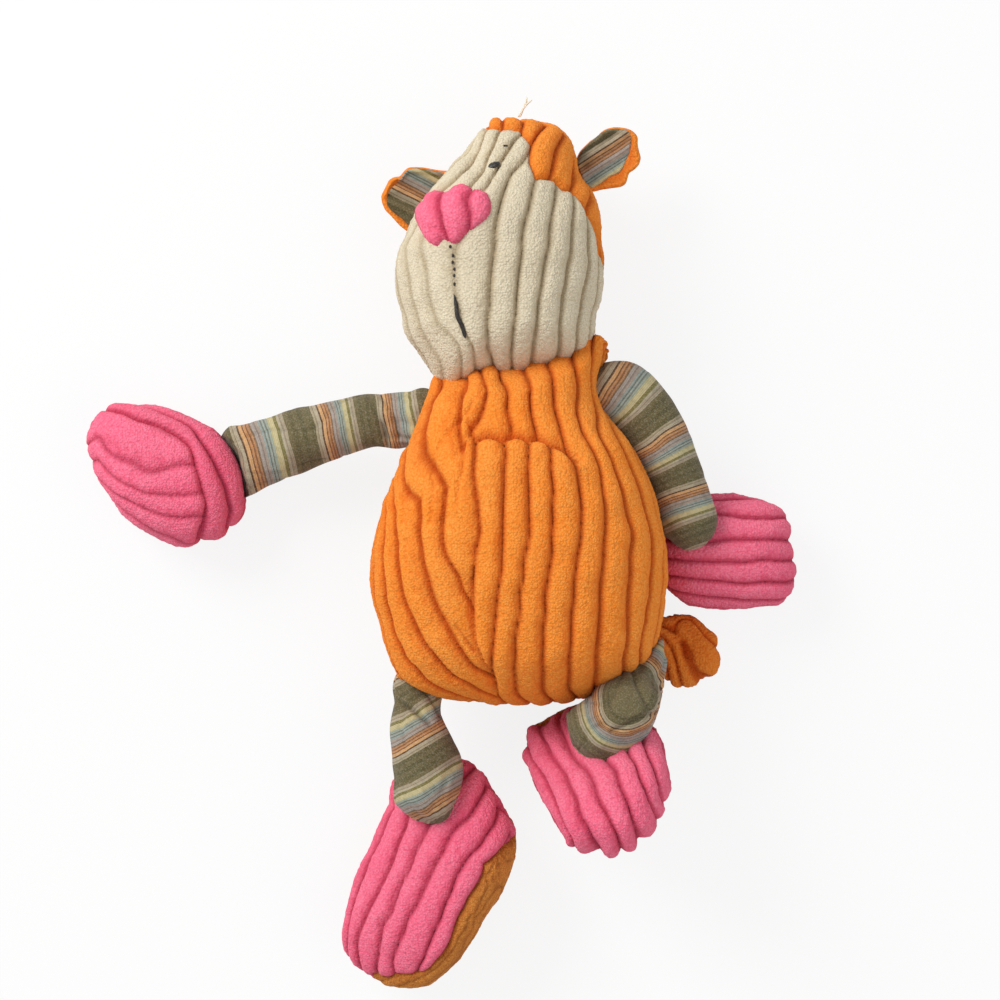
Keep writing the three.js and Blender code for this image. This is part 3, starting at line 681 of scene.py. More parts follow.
def wale_numbers(surface: Surface, valleys: Valleys, by_picture: bool = False) -> Points:
    """Wale numbers at every point of the surface that its valleys were measured on."""
    return WaleMap(surface, valleys, by_picture).phase(surface)


def spread(run: Run, spacing: float) -> Points:
    """Points at an even spacing along a broken line, its ends kept.

    Args:
        run: The broken line.
        spacing: About how far apart they are.

    Returns:
        The points, one to a row.
    """
    corners = np.array(run, float)
    distances = np.concatenate([[0.0], np.cumsum(np.linalg.norm(np.diff(corners, axis=0), axis=1))])
    count = max(2, round(distances[-1] / spacing) + 1)
    at = np.linspace(0, distances[-1], count)
    return np.stack([np.interp(at, distances, axis) for axis in corners.T], axis=1)


def line_gap(pixels: Points, run: Run) -> Points:
    """How far pixels are from a broken line.

    Args:
        pixels: The pixels, one to a row.
        run: The broken line.

    Returns:
        Their distances in pixels.
    """
    corners = np.array(run, float)
    best = np.full(len(pixels), np.inf)
    for start, end in zip(corners[:-1], corners[1:]):
        reach = end - start
        share = np.clip(((pixels - start) @ reach) / max(reach @ reach, 1e-9), 0, 1)
        best = np.minimum(best, np.linalg.norm(pixels - start - share[:, None] * reach, axis=1))
    return best


def inside(pixels: Points, outline: Run) -> Points:
    """Which pixels lie inside a closed outline.

    Args:
        pixels: The pixels, one to a row.
        outline: The outline's corners.

    Returns:
        True for each pixel inside.
    """
    corners = np.array(outline, float)
    result = np.zeros(len(pixels), bool)
    for start, end in zip(corners, np.roll(corners, -1, axis=0)):
        crosses = (start[1] > pixels[:, 1]) != (end[1] > pixels[:, 1])
        rise = end[1] - start[1] if end[1] != start[1] else 1e-9
        edge = start[0] + (pixels[:, 1] - start[1]) * (end[0] - start[0]) / rise
        result ^= crosses & (pixels[:, 0] < edge)
    return result


def outline_gap(pixels: Points, outline: Run) -> Points:
    """Distances from a closed outline, positive inside it, in pixels."""
    gap = line_gap(pixels, (*outline, outline[0]))
    return np.where(inside(pixels, outline), gap, -gap)


def groove(pixels: Points, run: Run, depth: float, width: float) -> Points:
    """The lift along a narrow groove: minus its depth on the run, and none beyond its width in pixels."""
    return -depth * bell(line_gap(pixels, run), width)


def wale_relief(phase: Points, depth: Points) -> tuple[Points, Points, Points]:
    """The rounded ribs of the cloth.

    Args:
        phase: Wale numbers, whole at the valleys.
        depth: The depth of a valley at each point.

    Returns:
        The lift of each point, none at a crest, its share of a full trough between ribs, which is painted
        as shade, and its share of the far flank of each rib, which is mottled and painted darker as shade.
    """
    share = phase - np.floor(phase)
    off_crest = np.abs(2 * share - 1)
    crown = np.sqrt(np.clip(1 - off_crest**2.3, 0, 1))
    return (crown - 1) * depth, smooth_step(0.6, 0.98, off_crest), smooth_step(0.5, 0.8, share)


# Meshes


def make_mesh(name: str, points: Points, faces: list[list[int]], **fields: Points) -> bpy.types.Object:
    """A smooth mesh in metres.

    Args:
        name: The piece's name.
        points: Places in millimetres.
        faces: Corner numbers of each face.
        **fields: Values at each point that the finish reads.

    Returns:
        The new object, in the scene.
    """
    mesh = bpy.data.meshes.new(name)
    mesh.from_pydata((points * MILLIMETRE).tolist(), [], faces)
    mesh.update()
    for label, values in fields.items():
        kind, target = ("FLOAT", "value") if values.ndim == 1 else ("FLOAT_VECTOR", "vector")
        attribute = mesh.attributes.new(label, kind, "POINT")
        attribute.data.foreach_set(target, np.ascontiguousarray(values, np.float32).reshape(-1))
    mesh.shade_smooth()
    made = bpy.data.objects.new(name, mesh)
    bpy.context.scene.collection.objects.link(made)
    return made


def ring_faces(rings: int, columns: int) -> tuple[Points, Points]:
    """Corner numbers of the faces of a closed grid whose two poles come last.

    Args:
        rings: How many rings of points it has.
        columns: How many points each ring has.

    Returns:
        The four-cornered faces between rings, and the triangles round the poles.
    """
    ring, column = np.meshgrid(np.arange(rings - 1), np.arange(columns), indexing="ij")
    here = ring * columns + column
    beside = ring * columns + (column + 1) % columns
    quads = np.stack([here, here + columns, beside + columns, beside], axis=-1).reshape(-1, 4)
    first = np.arange(columns)
    second = (first + 1) % columns
    start_pole, end_pole, end_ring = rings * columns, rings * columns + 1, (rings - 1) * columns
    start_fan = np.stack([np.full_like(first, start_pole), first, second], axis=-1)
    end_fan = np.stack([np.full_like(first, end_pole), end_ring + second, end_ring + first], axis=-1)
    return quads, np.vstack([start_fan, end_fan])


def closed_faces(rings: int, columns: int) -> list[list[int]]:
    """Corner numbers of every face of a closed grid."""
    return [face for part in ring_faces(rings, columns) for face in part.tolist()]


# Shader nodes


class Signal:
    """A socket that takes part in sums: each operator adds its Math node."""

    def __init__(self, tree: "ShaderTree", socket: bpy.types.NodeSocket) -> None:
        """Wraps a socket of a tree."""
        self.tree = tree
        self.socket = socket

    def _math(self, operation: str, *values: "Signal | float") -> "Signal":
        """A Math node over these values."""
        node = self.tree.node("ShaderNodeMath", {"operation": operation}, dict(enumerate(values)))
        return Signal(self.tree, node.outputs[0])

    def __add__(self, other: "Signal | float") -> "Signal":
        """The sum."""
        return self._math("ADD", self, other)

    def __radd__(self, other: float) -> "Signal":
        """The sum, with a number first."""
        return self._math("ADD", other, self)

    def __sub__(self, other: "Signal | float") -> "Signal":
        """The difference."""
        return self._math("SUBTRACT", self, other)

    def __rsub__(self, other: float) -> "Signal":
        """The difference from a number."""
        return self._math("SUBTRACT", other, self)

    def __mul__(self, other: "Signal | float") -> "Signal":
        """The product."""
        return self._math("MULTIPLY", self, other)

    def __rmul__(self, other: float) -> "Signal":
        """The product, with a number first."""
        return self._math("MULTIPLY", other, self)

    def __truediv__(self, other: "Signal | float") -> "Signal":
        """The quotient."""
        return self._math("DIVIDE", self, other)

    def __rtruediv__(self, other: float) -> "Signal":
        """The quotient, with a number first."""
        return self._math("DIVIDE", other, self)

    def part(self) -> "Signal":
        """What is left over whole numbers."""
        return self._math("FRACT", self)

    def sine(self) -> "Signal":
        """The sine."""
        return self._math("SINE", self)

    def between(self, low: float, high: float) -> "Signal":
        """0 at low, 1 at high, and held to that range."""
        node = self.tree.node("ShaderNodeMapRange", {"clamp": True},
                              {"Value": self, "From Min": low, "From Max": high})
        return Signal(self.tree, node.outputs[0])


class ShaderTree:
    """A material's nodes, made one by one."""

    def __init__(self, name: str) -> None:
        """Starts an empty material of this name."""
        self.material = bpy.data.materials.new(name)
        self.material.use_nodes = True
        self.tree = self.material.node_tree
        self.tree.nodes.clear()

    def node(self, kind: str, settings: dict[str, object], inputs: dict[str | int, object]) -> bpy.types.Node:
        """A node of a type, with its settings and then its sockets' values or links.

        Args:
            kind: The node's type.
            settings: Values of its own properties; "stops" are a ramp's places and colours.
            inputs: Values, Signals or sockets by input name or number.

        Returns:
            The node.
        """
        made = self.tree.nodes.new(kind)
        for key, value in settings.items():
            if key == "stops":
                self._fill_ramp(made.color_ramp, value)
            else:
                setattr(made, key, value)
        for key, value in inputs.items():
            source = value.socket if isinstance(value, Signal) else value
            if isinstance(source, bpy.types.NodeSocket):
                self.tree.links.new(source, made.inputs[key])
            else:
                made.inputs[key].default_value = source
        return made

    @staticmethod
    def _fill_ramp(ramp: bpy.types.ColorRamp, stops: Sequence[tuple[float, Colour]]) -> None:
        """Gives a ramp hard stripes.

        Args:
            ramp: The ramp.
            stops: Where each stripe starts, and its colour.
        """
        ramp.interpolation = "CONSTANT"
        while len(ramp.elements) < len(stops):
            ramp.elements.new(0.5)
        for element, (place, colour) in zip(ramp.elements, stops):
            element.position = place
            element.color = (*colour, 1)

    def field(self, name: str) -> Signal:
        """A value kept at the mesh's points."""
        node = self.node("ShaderNodeAttribute", {"attribute_name": name}, {})
        return Signal(self, node.outputs["Fac"])

    def place(self) -> bpy.types.NodeSocket:
        """The place of the cloth at rest, in metres."""
        return self.node("ShaderNodeAttribute", {"attribute_name": "place"}, {}).outputs["Vector"]

    def noise(self, scale: float, detail: float, stretch: Sequence[float] = (1, 1, 1)) -> Signal:
        """Unevenness fixed to the cloth.

        Args:
            scale: Lumps to a metre.
            detail: How many finer layers it has.
            stretch: Factors on the three directions.

        Returns:
            A value around 0.5.
        """
        place = self.place()
        if tuple(stretch) != (1, 1, 1):
            place = self.node("ShaderNodeVectorMath", {"operation": "MULTIPLY"},
                              {0: place, 1: tuple(stretch)}).outputs[0]
        node = self.node("ShaderNodeTexNoise", {"noise_dimensions": "3D"},
                         {"Vector": place, "Scale": scale, "Detail": detail, "Roughness": 0.6})
        return Signal(self, node.outputs["Fac"])

    def loops(self, pitch: float) -> Signal:
        """Small round loops of yarn: 0 at each one's middle, rising to the gaps between them.

        Args:
            pitch: How far apart they are, in millimetres.

        Returns:
            The distance from the nearest loop's middle.
        """
        node = self.node("ShaderNodeTexVoronoi", {"voronoi_dimensions": "3D", "feature": "F1"},
                         {"Vector": self.place(), "Scale": 1 / (pitch * MILLIMETRE), "Randomness": 0.8})
        return Signal(self, node.outputs["Distance"])

    def mix(self, factor: "Signal | float", first: object, second: object) -> bpy.types.NodeSocket:
        """A colour between two, each a socket or a plain colour, by a factor from 0 to 1."""
        first, second = [(*value, 1) if isinstance(value, tuple) else value for value in (first, second)]
        return self.node("ShaderNodeMix", {"data_type": "RGBA"}, {0: factor, 6: first, 7: second}).outputs[2]

    def output(self, surface: bpy.types.NodeSocket) -> bpy.types.Material:
        """Joins a surface to the output, and gives the material."""
        self.node("ShaderNodeOutputMaterial", {}, {"Surface": surface})
        return self.material

    def cloth(self, colour: bpy.types.NodeSocket, height: Signal, bump: tuple[float, float],
              **sockets: object) -> bpy.types.Material:
        """Ends the tree with a matt shader over a small bumped relief.

        Args:
            colour: The colour over the surface.
            height: The relief over the surface.
            bump: The relief's strength, and its height in metres.
            **sockets: Values of the shader's other sockets, with _ for each space.

        Returns:
            The material.
        """
        strength, rise = bump
        relief = self.node("ShaderNodeBump", {}, {"Strength": strength, "Distance": rise, "Height": height})
        named = {name.replace("_", " "): value for name, value in sockets.items()}
        shader = self.node("ShaderNodeBsdfPrincipled", {},
                           {"Base Color": colour, "Normal": relief.outputs[0], **named})
        return self.output(shader.outputs[0])


def linear(code: str) -> Colour:
    """A colour from its six-digit code, as light."""
    parts = [int(code[i:i + 2], 16) / 255 for i in (0, 2, 4)]
    return tuple(p / 12.92 if p <= 0.04045 else ((p + 0.055) / 1.055) ** 2.4 for p in parts)


@dataclass(frozen=True)
class PlushFinish:
    """Wide-wale plush: mottled nap, painted shade in the valleys and on rib flanks, with a soft sheen."""

    slot: str
    light: str
    middle: str
    deep: str
    valley: str
    tuft_pitch: float = 1.3
    mottling: float = 0.75

    def material(self) -> bpy.types.Material:
        """Makes the finish.

        Returns:
            The material.
        """
        tree = ShaderTree(self.slot)
        tufts_to_a_metre = 1 / (self.tuft_pitch * MILLIMETRE)
        light, deep = linear(self.light), linear(self.deep)
        nap = tree.noise(tufts_to_a_metre, 3)
        tufts = tree.noise(0.45 * tufts_to_a_metre, 2, (1, 0.55, 1))
        fibres = tree.noise(2600, 2)
        drift = tree.noise(45, 2)
        brushed_shaded_flank = tree.field("nap")
        loops = tree.loops(self.tuft_pitch * 0.85)
        lit = (nap + (drift - 0.5) * 0.35).between(0.34, 0.64)
        worms = tufts.between(0.46, 0.6) * brushed_shaded_flank + (1 - nap.between(0.3, 0.42)) * 0.25
        colour = tree.mix(lit * self.mottling, linear(self.middle), light)
        # Painted shade on the far flank of each rib.
        colour = tree.mix(brushed_shaded_flank * 0.3, colour, deep)
        colour = tree.mix(worms * 0.5, colour, deep)
        colour = tree.mix(loops.between(0.38, 0.75) * 0.4, colour, deep)
        # Painted shade down in the wale valleys, along seams and in folds.
        colour = tree.mix(tree.field("valley") * 0.85, colour, linear(self.valley))
        height = nap * 0.4 + fibres * 0.15 + tufts * brushed_shaded_flank * 0.5 - loops * 0.7
        return tree.cloth(colour, height, (0.7, 0.0013), Roughness=0.95, Sheen_Weight=0.35,
                          Sheen_Roughness=0.5, Sheen_Tint=(*light, 1), Specular_IOR_Level=0.1)


@dataclass(frozen=True)
class JerseyFinish:
    """Knit jersey in many stripes: (width in millimetres, colour) over one repeat."""

    slot: str
    bands: tuple[tuple[float, str], ...]
    row_pitch: float = 0.62
    wander: float = 1.6

    def material(self) -> bpy.types.Material:
        """Makes the finish.

        Returns:
            The material.
        """
        tree = ShaderTree(self.slot)
        ends = np.cumsum([width for width, _ in self.bands])
        starts = np.concatenate([[0.0], ends[:-1]]) / ends[-1]
        stops = [(float(start), linear(code)) for start, (_, code) in zip(starts, self.bands)]
        along = tree.field("along")
        wander = (tree.noise(45, 1) - 0.5) * (self.wander * MILLIMETRE)
        share = ((along + wander) / (float(ends[-1]) * MILLIMETRE)).part()
        rows = (along * (FULL_TURN / (self.row_pitch * MILLIMETRE))).sine() * 0.5 + 0.5
        yarn = tree.noise(1500, 2)
        heather = tree.noise(420, 2)
        colour = tree.node("ShaderNodeValToRGB", {"stops": stops}, {"Fac": share}).outputs["Color"]
        colour = tree.mix(rows * 0.22, colour, linear("4F4A38"))
        colour = tree.mix(yarn.between(0.45, 0.75) * 0.2, colour, linear("E8E0C8"))
        colour = tree.mix((1 - heather.between(0.3, 0.55)) * 0.22, colour, linear("3C372A"))
        # Painted shade in the folds of the jersey.
        colour = tree.mix(tree.field("valley").between(0.2, 1.0) * 0.5, colour, linear("2E2A20"))
        return tree.cloth(colour, rows * 0.5 + yarn * 0.5, (0.5, 0.0004), Roughness=0.85, Sheen_Weight=0.15,
                          Specular_IOR_Level=0.15)


@dataclass(frozen=True)
class FibreFinish:
    """Loose or twisted fibres: sewing thread, or the polyester fill."""

    slot: str
    light: str
    dark: str
    scale: float
    detail: float
    stretch: tuple[float, float, float]
    contrast: tuple[float, float]
    bump: tuple[float, float]
    roughness: float
    sheen: float = 0.0

    def material(self) -> bpy.types.Material:
        """Makes the finish.

        Returns:
            The material.
        """
        tree = ShaderTree(self.slot)
        strands = tree.noise(self.scale, self.detail, self.stretch)
        colour = tree.mix(strands.between(*self.contrast), linear(self.dark), linear(self.light))
        return tree.cloth(colour, strands, self.bump, Roughness=self.roughness, Sheen_Weight=self.sheen)


def thread(slot: str, light: str, dark: str, roughness: float) -> FibreFinish:
    """Sewing thread: fine twisted strands."""
    return FibreFinish(slot, light, dark, 1800, 2, (1, 1, 0.4), (0.35, 0.65), (0.6, 0.0003), roughness)


class Finish(Enum):
    """The toy's finishes."""

    # Plush: pile tones, a deep tone for mottling and painted flank shade, then the painted valley shade.
    ORANGE_PLUSH = PlushFinish("orange_plush", "FFAA50", "FC9030", "E46C22", "BE4A14")
    CREAM_PLUSH = PlushFinish("cream_plush", "EEE4CC", "DFD2B6", "C4B394", "A08A68", mottling=0.6)
    PINK_PLUSH = PlushFinish("pink_plush", "FF90A8", "FD6E8E", "DE4C6A", "B83450")
    SOLE_PLUSH = PlushFinish("sole_plush", "E39A4A", "CE7C38", "A85C28", "84421C")
    STRIPED_JERSEY = JerseyFinish("striped_jersey", (
        (1.2, "D6A470"), (0.5, "7A4E30"), (0.8, "C48A58"), (0.5, "8A5A3A"), (0.7, "B88358"), (0.6, "7A6048"),
        (1.1, "A89C94"), (0.5, "8C7D74"), (0.9, "A6978A"),
        (0.7, "93A09C"), (0.5, "6C7268"), (0.7, "9BA69E"), (0.5, "70746A"), (0.9, "9AA496"),
        (0.5, "BBAF82"), (1.5, "C6B98C"), (1.3, "7E7542"),
        (0.9, "B4A890"), (0.5, "948670"), (1.0, "AA9C84"),
        (1.8, "6E6240"), (1.6, "5F5636"), (1.8, "6A6040"), (1.7, "5C5434"), (1.8, "6C6140"), (1.7, "625938"),
        (0.8, "AA9C80"), (0.4, "8C7E64"), (1.4, "B3A58C"), (0.7, "5A3D28"),
    ))
    BLACK_THREAD = thread("black_thread", "3A3430", "0D0B0A", 0.3)
    CREAM_THREAD = thread("cream_thread", "F8F3E2", "E0D8BE", 0.9)
    FIBRE_FILL = FibreFinish("fibre_fill", "F6F4EE", "D9D6CC", 320, 4, (1, 0.5, 1), (0.3, 0.7), (0.9, 0.002),
                             roughness=1.0, sheen=0.3)


# What the sub-assemblies share


class Workbench:
    """Where pieces are finished: it keeps one material to each finish, and joins pieces to the frame."""

    def __init__(self) -> None:
        """Starts with no materials."""
        self.made: dict[Finish, bpy.types.Material] = {}

    def _dress(self, piece: bpy.types.Object, finish: Finish) -> None:
        """Gives a piece its finish and names the record's slot.

        Args:
            piece: The finished mesh.
            finish: What it is made of.
        """
        if finish not in self.made:
            self.made[finish] = finish.value.material()
        piece.data.materials.append(self.made[finish])

    @staticmethod
    def _place(piece: bpy.types.Object, node: str, fill: float | None) -> None:
        """Hides the CAD node that a piece stands for.

        Args:
            piece: The finished mesh; not used.
            node: The CAD node that it stands for.
            fill: How full it is, for a padded piece; not used.
        """
        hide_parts(node)

    def join(self, piece: bpy.types.Object, body: str, node: str, finish: Finish,
             fill: float | None = None) -> None:
        """Finishes a piece that moves with one body.

        Args:
            piece: The finished mesh.
            body: The body that it moves with.
            node: The CAD node that it stands for.
            finish: What it is made of.
            fill: How full it is, for a padded piece.
        """
        self._dress(piece, finish)
        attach(piece, body)
        self._place(piece, node, fill)
        LOG.info("%s stands for %s on %s", piece.name, node, body)

    def bend(self, piece: bpy.types.Object, body: str, node: str, finish: Finish, fill: float,
             stretch: tuple[Points, Points]) -> None:
        """Finishes a piece of cloth that runs from the torso to another body, left fixed where it is.

        Args:
            piece: The finished mesh.
            body: The other body.
            node: The CAD node that it stands for.
            finish: What it is made of.
            fill: How full it is.
            stretch: Where the bend starts and ends, in millimetres; not used.
        """
        self._dress(piece, finish)
        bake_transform(piece)
        self._place(piece, node, fill)
        LOG.info("%s stands for %s and bends from body to %s", piece.name, node, body)

    def stuff(self, body: str, form: StuffedForm, inset: float, fill: float) -> None:
        """Makes the lumpy wad of fibre inside a form.

        Args:
            body: The body that it moves with.
            form: The form around it.
            inset: How far inside the form it stays, in millimetres.
            fill: How full it is.
        """
        surface = form.surface(FILL_STEP, inset)
        lift = 0.9 * lumps(surface.points, 16, 11) + 0.5 * lumps(surface.points, 7, 12) - 1.0
        _, faces = surface.faces()
        wad = make_mesh(f"{body}_stuffing_wad", surface.displaced(lift, FILL_FLOOR), faces,
                        place=surface.points * MILLIMETRE)
        self.join(wad, body, f"{body}_stuffing", Finish.FIBRE_FILL, fill)


class SubAssembly:
    """A part of the toy: its fields are its sizes, and it builds and dresses its own pieces."""

    def build(self, bench: Workbench) -> None:
        """Makes the pieces on the bench."""
        raise NotImplementedError


@dataclass
class Cloth:
    """One panel of plush over a form: the part of a surface on its side of a seam."""

    name: str
    depth: float = WALE_DEPTH
    shade: float = 0.0
    places: Points | None = None

    def build(self, surface: Surface, own_side: Points, phase: Points, folds: Points | float = 0.0,
              flatness: Points | float = 0.0) -> bpy.types.Object:
        """Makes the panel, and keeps where its cloth lies in places.

        Args:
            surface: The whole form's surface.
            own_side: Distance inside the panel's own outline, negative past the seam.
            phase: Wale numbers.
            folds: More lift, such as folds and creases.
            flatness: How flat the wales lie, from 0 to 1.

        Returns:
            The panel, not yet on a body.
        """
        pressed = smooth_step(0, PRESSED_HEIGHT, surface.points[:, 2])
        depth = (PRESSED_DEPTH + (self.depth - PRESSED_DEPTH) * pressed) * (1 - flatness)
        lift, valley, brushed_shaded_flank = wale_relief(phase, depth)
        near = np.clip(1 - own_side / SEAM_REACH, 0, 1)
        tuck = SEAM_TUCK * (1 - np.sqrt(1 - near**2))
        hidden = np.clip(-own_side, 0, None) * 1.4
        lift = lift * (1 - 0.35 * near) - tuck - hidden + folds
        lift = lift + (0.3 * lumps(surface.points, 14, 3) + 0.16 * lumps(surface.points, 2.4, 7)) * pressed
        self.places = surface.displaced(lift, CLOTH_FLOOR)
        # Painted shade: in the wale valleys, less where they lie flat, at the seam's tuck and in deep folds,
        # plus the panel's even painted shade.
        shade = np.maximum(valley * (1 - 0.6 * flatness), np.clip(near - 0.45, 0, 1) * 0.8)
        shade = np.maximum(shade, smooth_step(0.8, 3.0, -folds * np.ones(len(lift))) * 0.9)
        shade = np.clip(shade + self.shade, 0, 1)
        used, faces = surface.faces(own_side > -SEAM_HIDDEN)
        # The nap field carries the far flank's painted shade and its mottled nap.
        return make_mesh(self.name, self.places[used], faces, place=surface.points[used] * MILLIMETRE,
                         valley=shade[used], nap=(0.15 + 0.85 * brushed_shaded_flank)[used])


def side_blend(away: Points, towards: Points, share: Points) -> Points:
    """Distances inside an outline: by one measure turned away from the camera, by another towards it."""
    limited = [np.clip(side, -SIDE_LIMIT, SIDE_LIMIT) for side in (away, towards)]
    return limited[0] * (1 - share) + limited[1] * share


# The torso


@dataclass(frozen=True)
class LayerEdge:
    """The relief where one layer of cloth ends over another: a raised lip, a cut and a drop, in mm."""

    lip: float
    lip_reach: float
    cut: float
    drop: float
    drop_reach: float
    cut_width: float = 3.0

    def lift(self, past: Points) -> Points:
        """The lift at distances in pixels past the edge, onto the upper layer."""
        over = self.lip * np.exp(-past / self.lip_reach) - self.cut * bell(past, self.cut_width)
        return np.where(past > 0, over, -self.drop * np.exp(past / self.drop_reach))


@dataclass(frozen=True)
class Torso(SubAssembly):
    """The body: a ribbed front and back over its fill, tucked under the head."""

    under: Run
    spine: tuple[Place, ...] = ((1, -71, 40.08), (0.5, -7.58, 46.08), (-1, 42.25, 46.08), (-3.5, 74, 45),
                                (-3, 92, 37))
    half_width: Profile = Profile(((0, 61), (0.19, 61.5), (0.37, 65.7), (0.53, 60.8), (0.67, 51.35),
                                   (0.76, 41.6), (0.84, 37.9), (0.93, 37), (1, 36)))
    half_depth: Profile = Profile(((0, 37.2), (0.19, 43.4), (0.37, 46.5), (0.53, 45.9), (0.67, 42.2),
                                   (0.76, 36.3), (0.88, 31), (1, 23)))
    domes: tuple[float, float] = (34, 6)
    roundness: float = 2.3
    tuck_depth: float = 18.0
    tuck_slope: tuple[float, float] = (-5, 14)
    seam_height: float = 46.0
    fill_inset: float = 6.5
    # Under the chest crease the wales are numbered from the middle one, apart right and left of the V fold
    right_valleys: Valleys = (
        (-1, ((474, 443), (473, 474), (474, 490), (477, 506), (479, 529), (475, 553), (472, 574))),
        (0, ((503, 441), (505, 458), (503, 474), (503, 529), (503, 553), (500, 582), (497, 605), (495, 633),
            (492, 650), (492, 668), (494, 690))),
        (1, ((528, 441), (529, 474), (529, 530), (520, 599), (516, 645), (513, 679), (521, 700))),
        (2, ((551, 445), (553, 474), (554, 530), (546, 600), (544, 645), (542, 690))),
        (3, ((575, 462), (583, 499), (582, 530), (574, 600), (571, 650), (569, 690))),
        (4, ((601, 465), (606, 499), (607, 530), (602, 600), (598, 650), (596, 690))),
        (5, ((619, 472), (630, 511), (634, 530), (631, 600), (628, 650), (624, 678))),
        (6, ((645, 490), (654, 530), (655, 560), (650, 610), (642, 650))),
    )
    left_valleys: Valleys = (
        (-1, ((474, 443), (473, 474), (474, 490), (477, 506), (479, 529), (475, 553), (478, 574),
            (486, 600))),
        (-2, ((459, 437), (454, 454), (447, 477), (443, 497), (441, 529), (441, 547), (443, 553),
            (451, 568), (459, 582), (464, 597), (472, 610), (482, 630))),
        (-3, ((426, 442), (416, 465), (418, 485), (418, 506), (418, 530), (421, 560), (430, 594),
            (436, 610), (445, 628), (452, 640), (462, 655), (476, 672))),
        (-4, ((402, 464), (394, 497), (393, 510), (394, 541), (396, 570), (400, 594), (407, 613),
            (411, 621), (419, 639), (427, 650), (438, 665), (452, 678), (466, 686))),
        (-5, ((384, 515), (380, 560), (384, 600), (392, 635), (405, 662), (424, 682))),
    )
    upper_valleys: Valleys = (
        (5, ((596, 400), (600, 419), (600, 435), (619, 472))),
        (4, ((571, 352), (580, 379), (579, 414), (587, 437), (601, 465))),
        (3, ((550, 368), (556, 388), (555, 404), (565, 437), (575, 465))),
        (2, ((527, 377), (531, 390), (532, 414), (540, 441))),
        (1, ((502, 378), (507, 389), (507, 405), (510, 425), (512, 438))),
        (0, ((486, 392), (483, 403), (482, 414), (471, 425), (459, 437), (454, 454))),
        (-1, ((461, 392), (455, 405), (441, 421), (434, 429), (426, 442), (416, 465))),
        (-2, ((440, 385), (432, 398), (420, 418), (408, 445), (402, 464))),
    )
    crease: Run = (
        (300, 470), (402, 464), (426, 448), (459, 437), (477, 441), (503, 441), (528, 441), (551, 446),
        (575, 463), (601, 468), (619, 474), (700, 520),
    )
    crease_reach: tuple[float, float, float, float] = (459, 470, 572, 590)
    crease_edge: LayerEdge = LayerEdge(lip=1.8, lip_reach=26, cut=3.8, drop=3.2, drop_reach=12)
    crease_scallop: float = 4.5
    crease_spread: float = 45.0
    fold: Run = (
        (474, 560), (470, 579), (472, 610), (475, 642), (484, 664), (496, 684), (497, 700),
    )
    fold_reach: tuple[float, float, float, float] = (560, 590, 690, 705)
    fold_edge: LayerEdge = LayerEdge(lip=1.4, lip_reach=20, cut=3.2, drop=2.6, drop_reach=11)
    partings: tuple[Run, ...] = (
        ((489, 374), (482, 387), (473, 398), (469, 409), (460, 418), (452, 427), (441, 440), (433, 452),
            (431, 475), (432, 490), (430, 523)),
        ((466, 455), (463, 469), (458, 482), (457, 505)),
        ((406, 485), (403, 501), (402, 523)),
        ((405, 541), (405, 560), (412, 580), (415, 594)),
        ((456, 628), (465, 642), (473, 653)),
    )
    outline: Run = (
        (440, 330), (436, 360), (433, 385), (429, 393), (423, 403), (417, 415), (411, 430), (405, 450),
        (399, 466), (390, 486), (385, 496), (379, 516), (375, 536), (371, 556), (368, 576), (372, 596),
        (377, 616), (383, 636), (389, 656), (396, 676), (405, 683), (420, 690), (440, 696), (460, 699),
        (480, 702), (510, 704), (540, 703), (570, 701), (593, 697), (606, 690), (620, 680), (640, 668),
        (651, 655), (658, 640), (663, 620), (665, 606), (667, 585), (668, 565), (667, 546), (661, 520),
        (657, 500), (652, 485), (645, 468), (635, 450), (625, 437), (613, 420), (602, 407), (597, 395),
        (596, 380), (601, 366), (609, 358), (608, 348), (600, 340), (590, 330),
    )

    def build(self, bench: Workbench) -> None:
        """Makes the two panels and the fill on the bench.

        Args:
            bench: Where they are finished.
        """
        form = StuffedForm(self.spine, self.half_width, self.half_depth, *self.domes,
                           roundness=self.roundness)
        fit = TubeFit(form.surface(FIT_STEP), self.outline)
        form.fit = Tucked(fit, self.under, self.tuck_depth, self.tuck_slope)
        surface = form.surface()
        front = surface.points[:, 2] - self.seam_height
        phase, folds = self._front_wales(surface)
        panel = Cloth("body_front").build(surface, front, phase, folds)
        bench.join(panel, "body", "body_front_panel", Finish.ORANGE_PLUSH, fill=0.7)
        panel = Cloth("body_back").build(surface, -front, surface.aside / WALE_PITCH + 0.5)
        bench.join(panel, "body", "body_back_panel", Finish.ORANGE_PLUSH, fill=0.7)
        bench.stuff("body", form, self.fill_inset, 0.6)

    @staticmethod
    def _window(value: Points, limits: tuple[float, float, float, float]) -> Points:
        """0 outside the outer two of four limits, 1 between the inner two."""
        return smooth_step(limits[0], limits[1], value) * (1 - smooth_step(limits[2], limits[3], value))

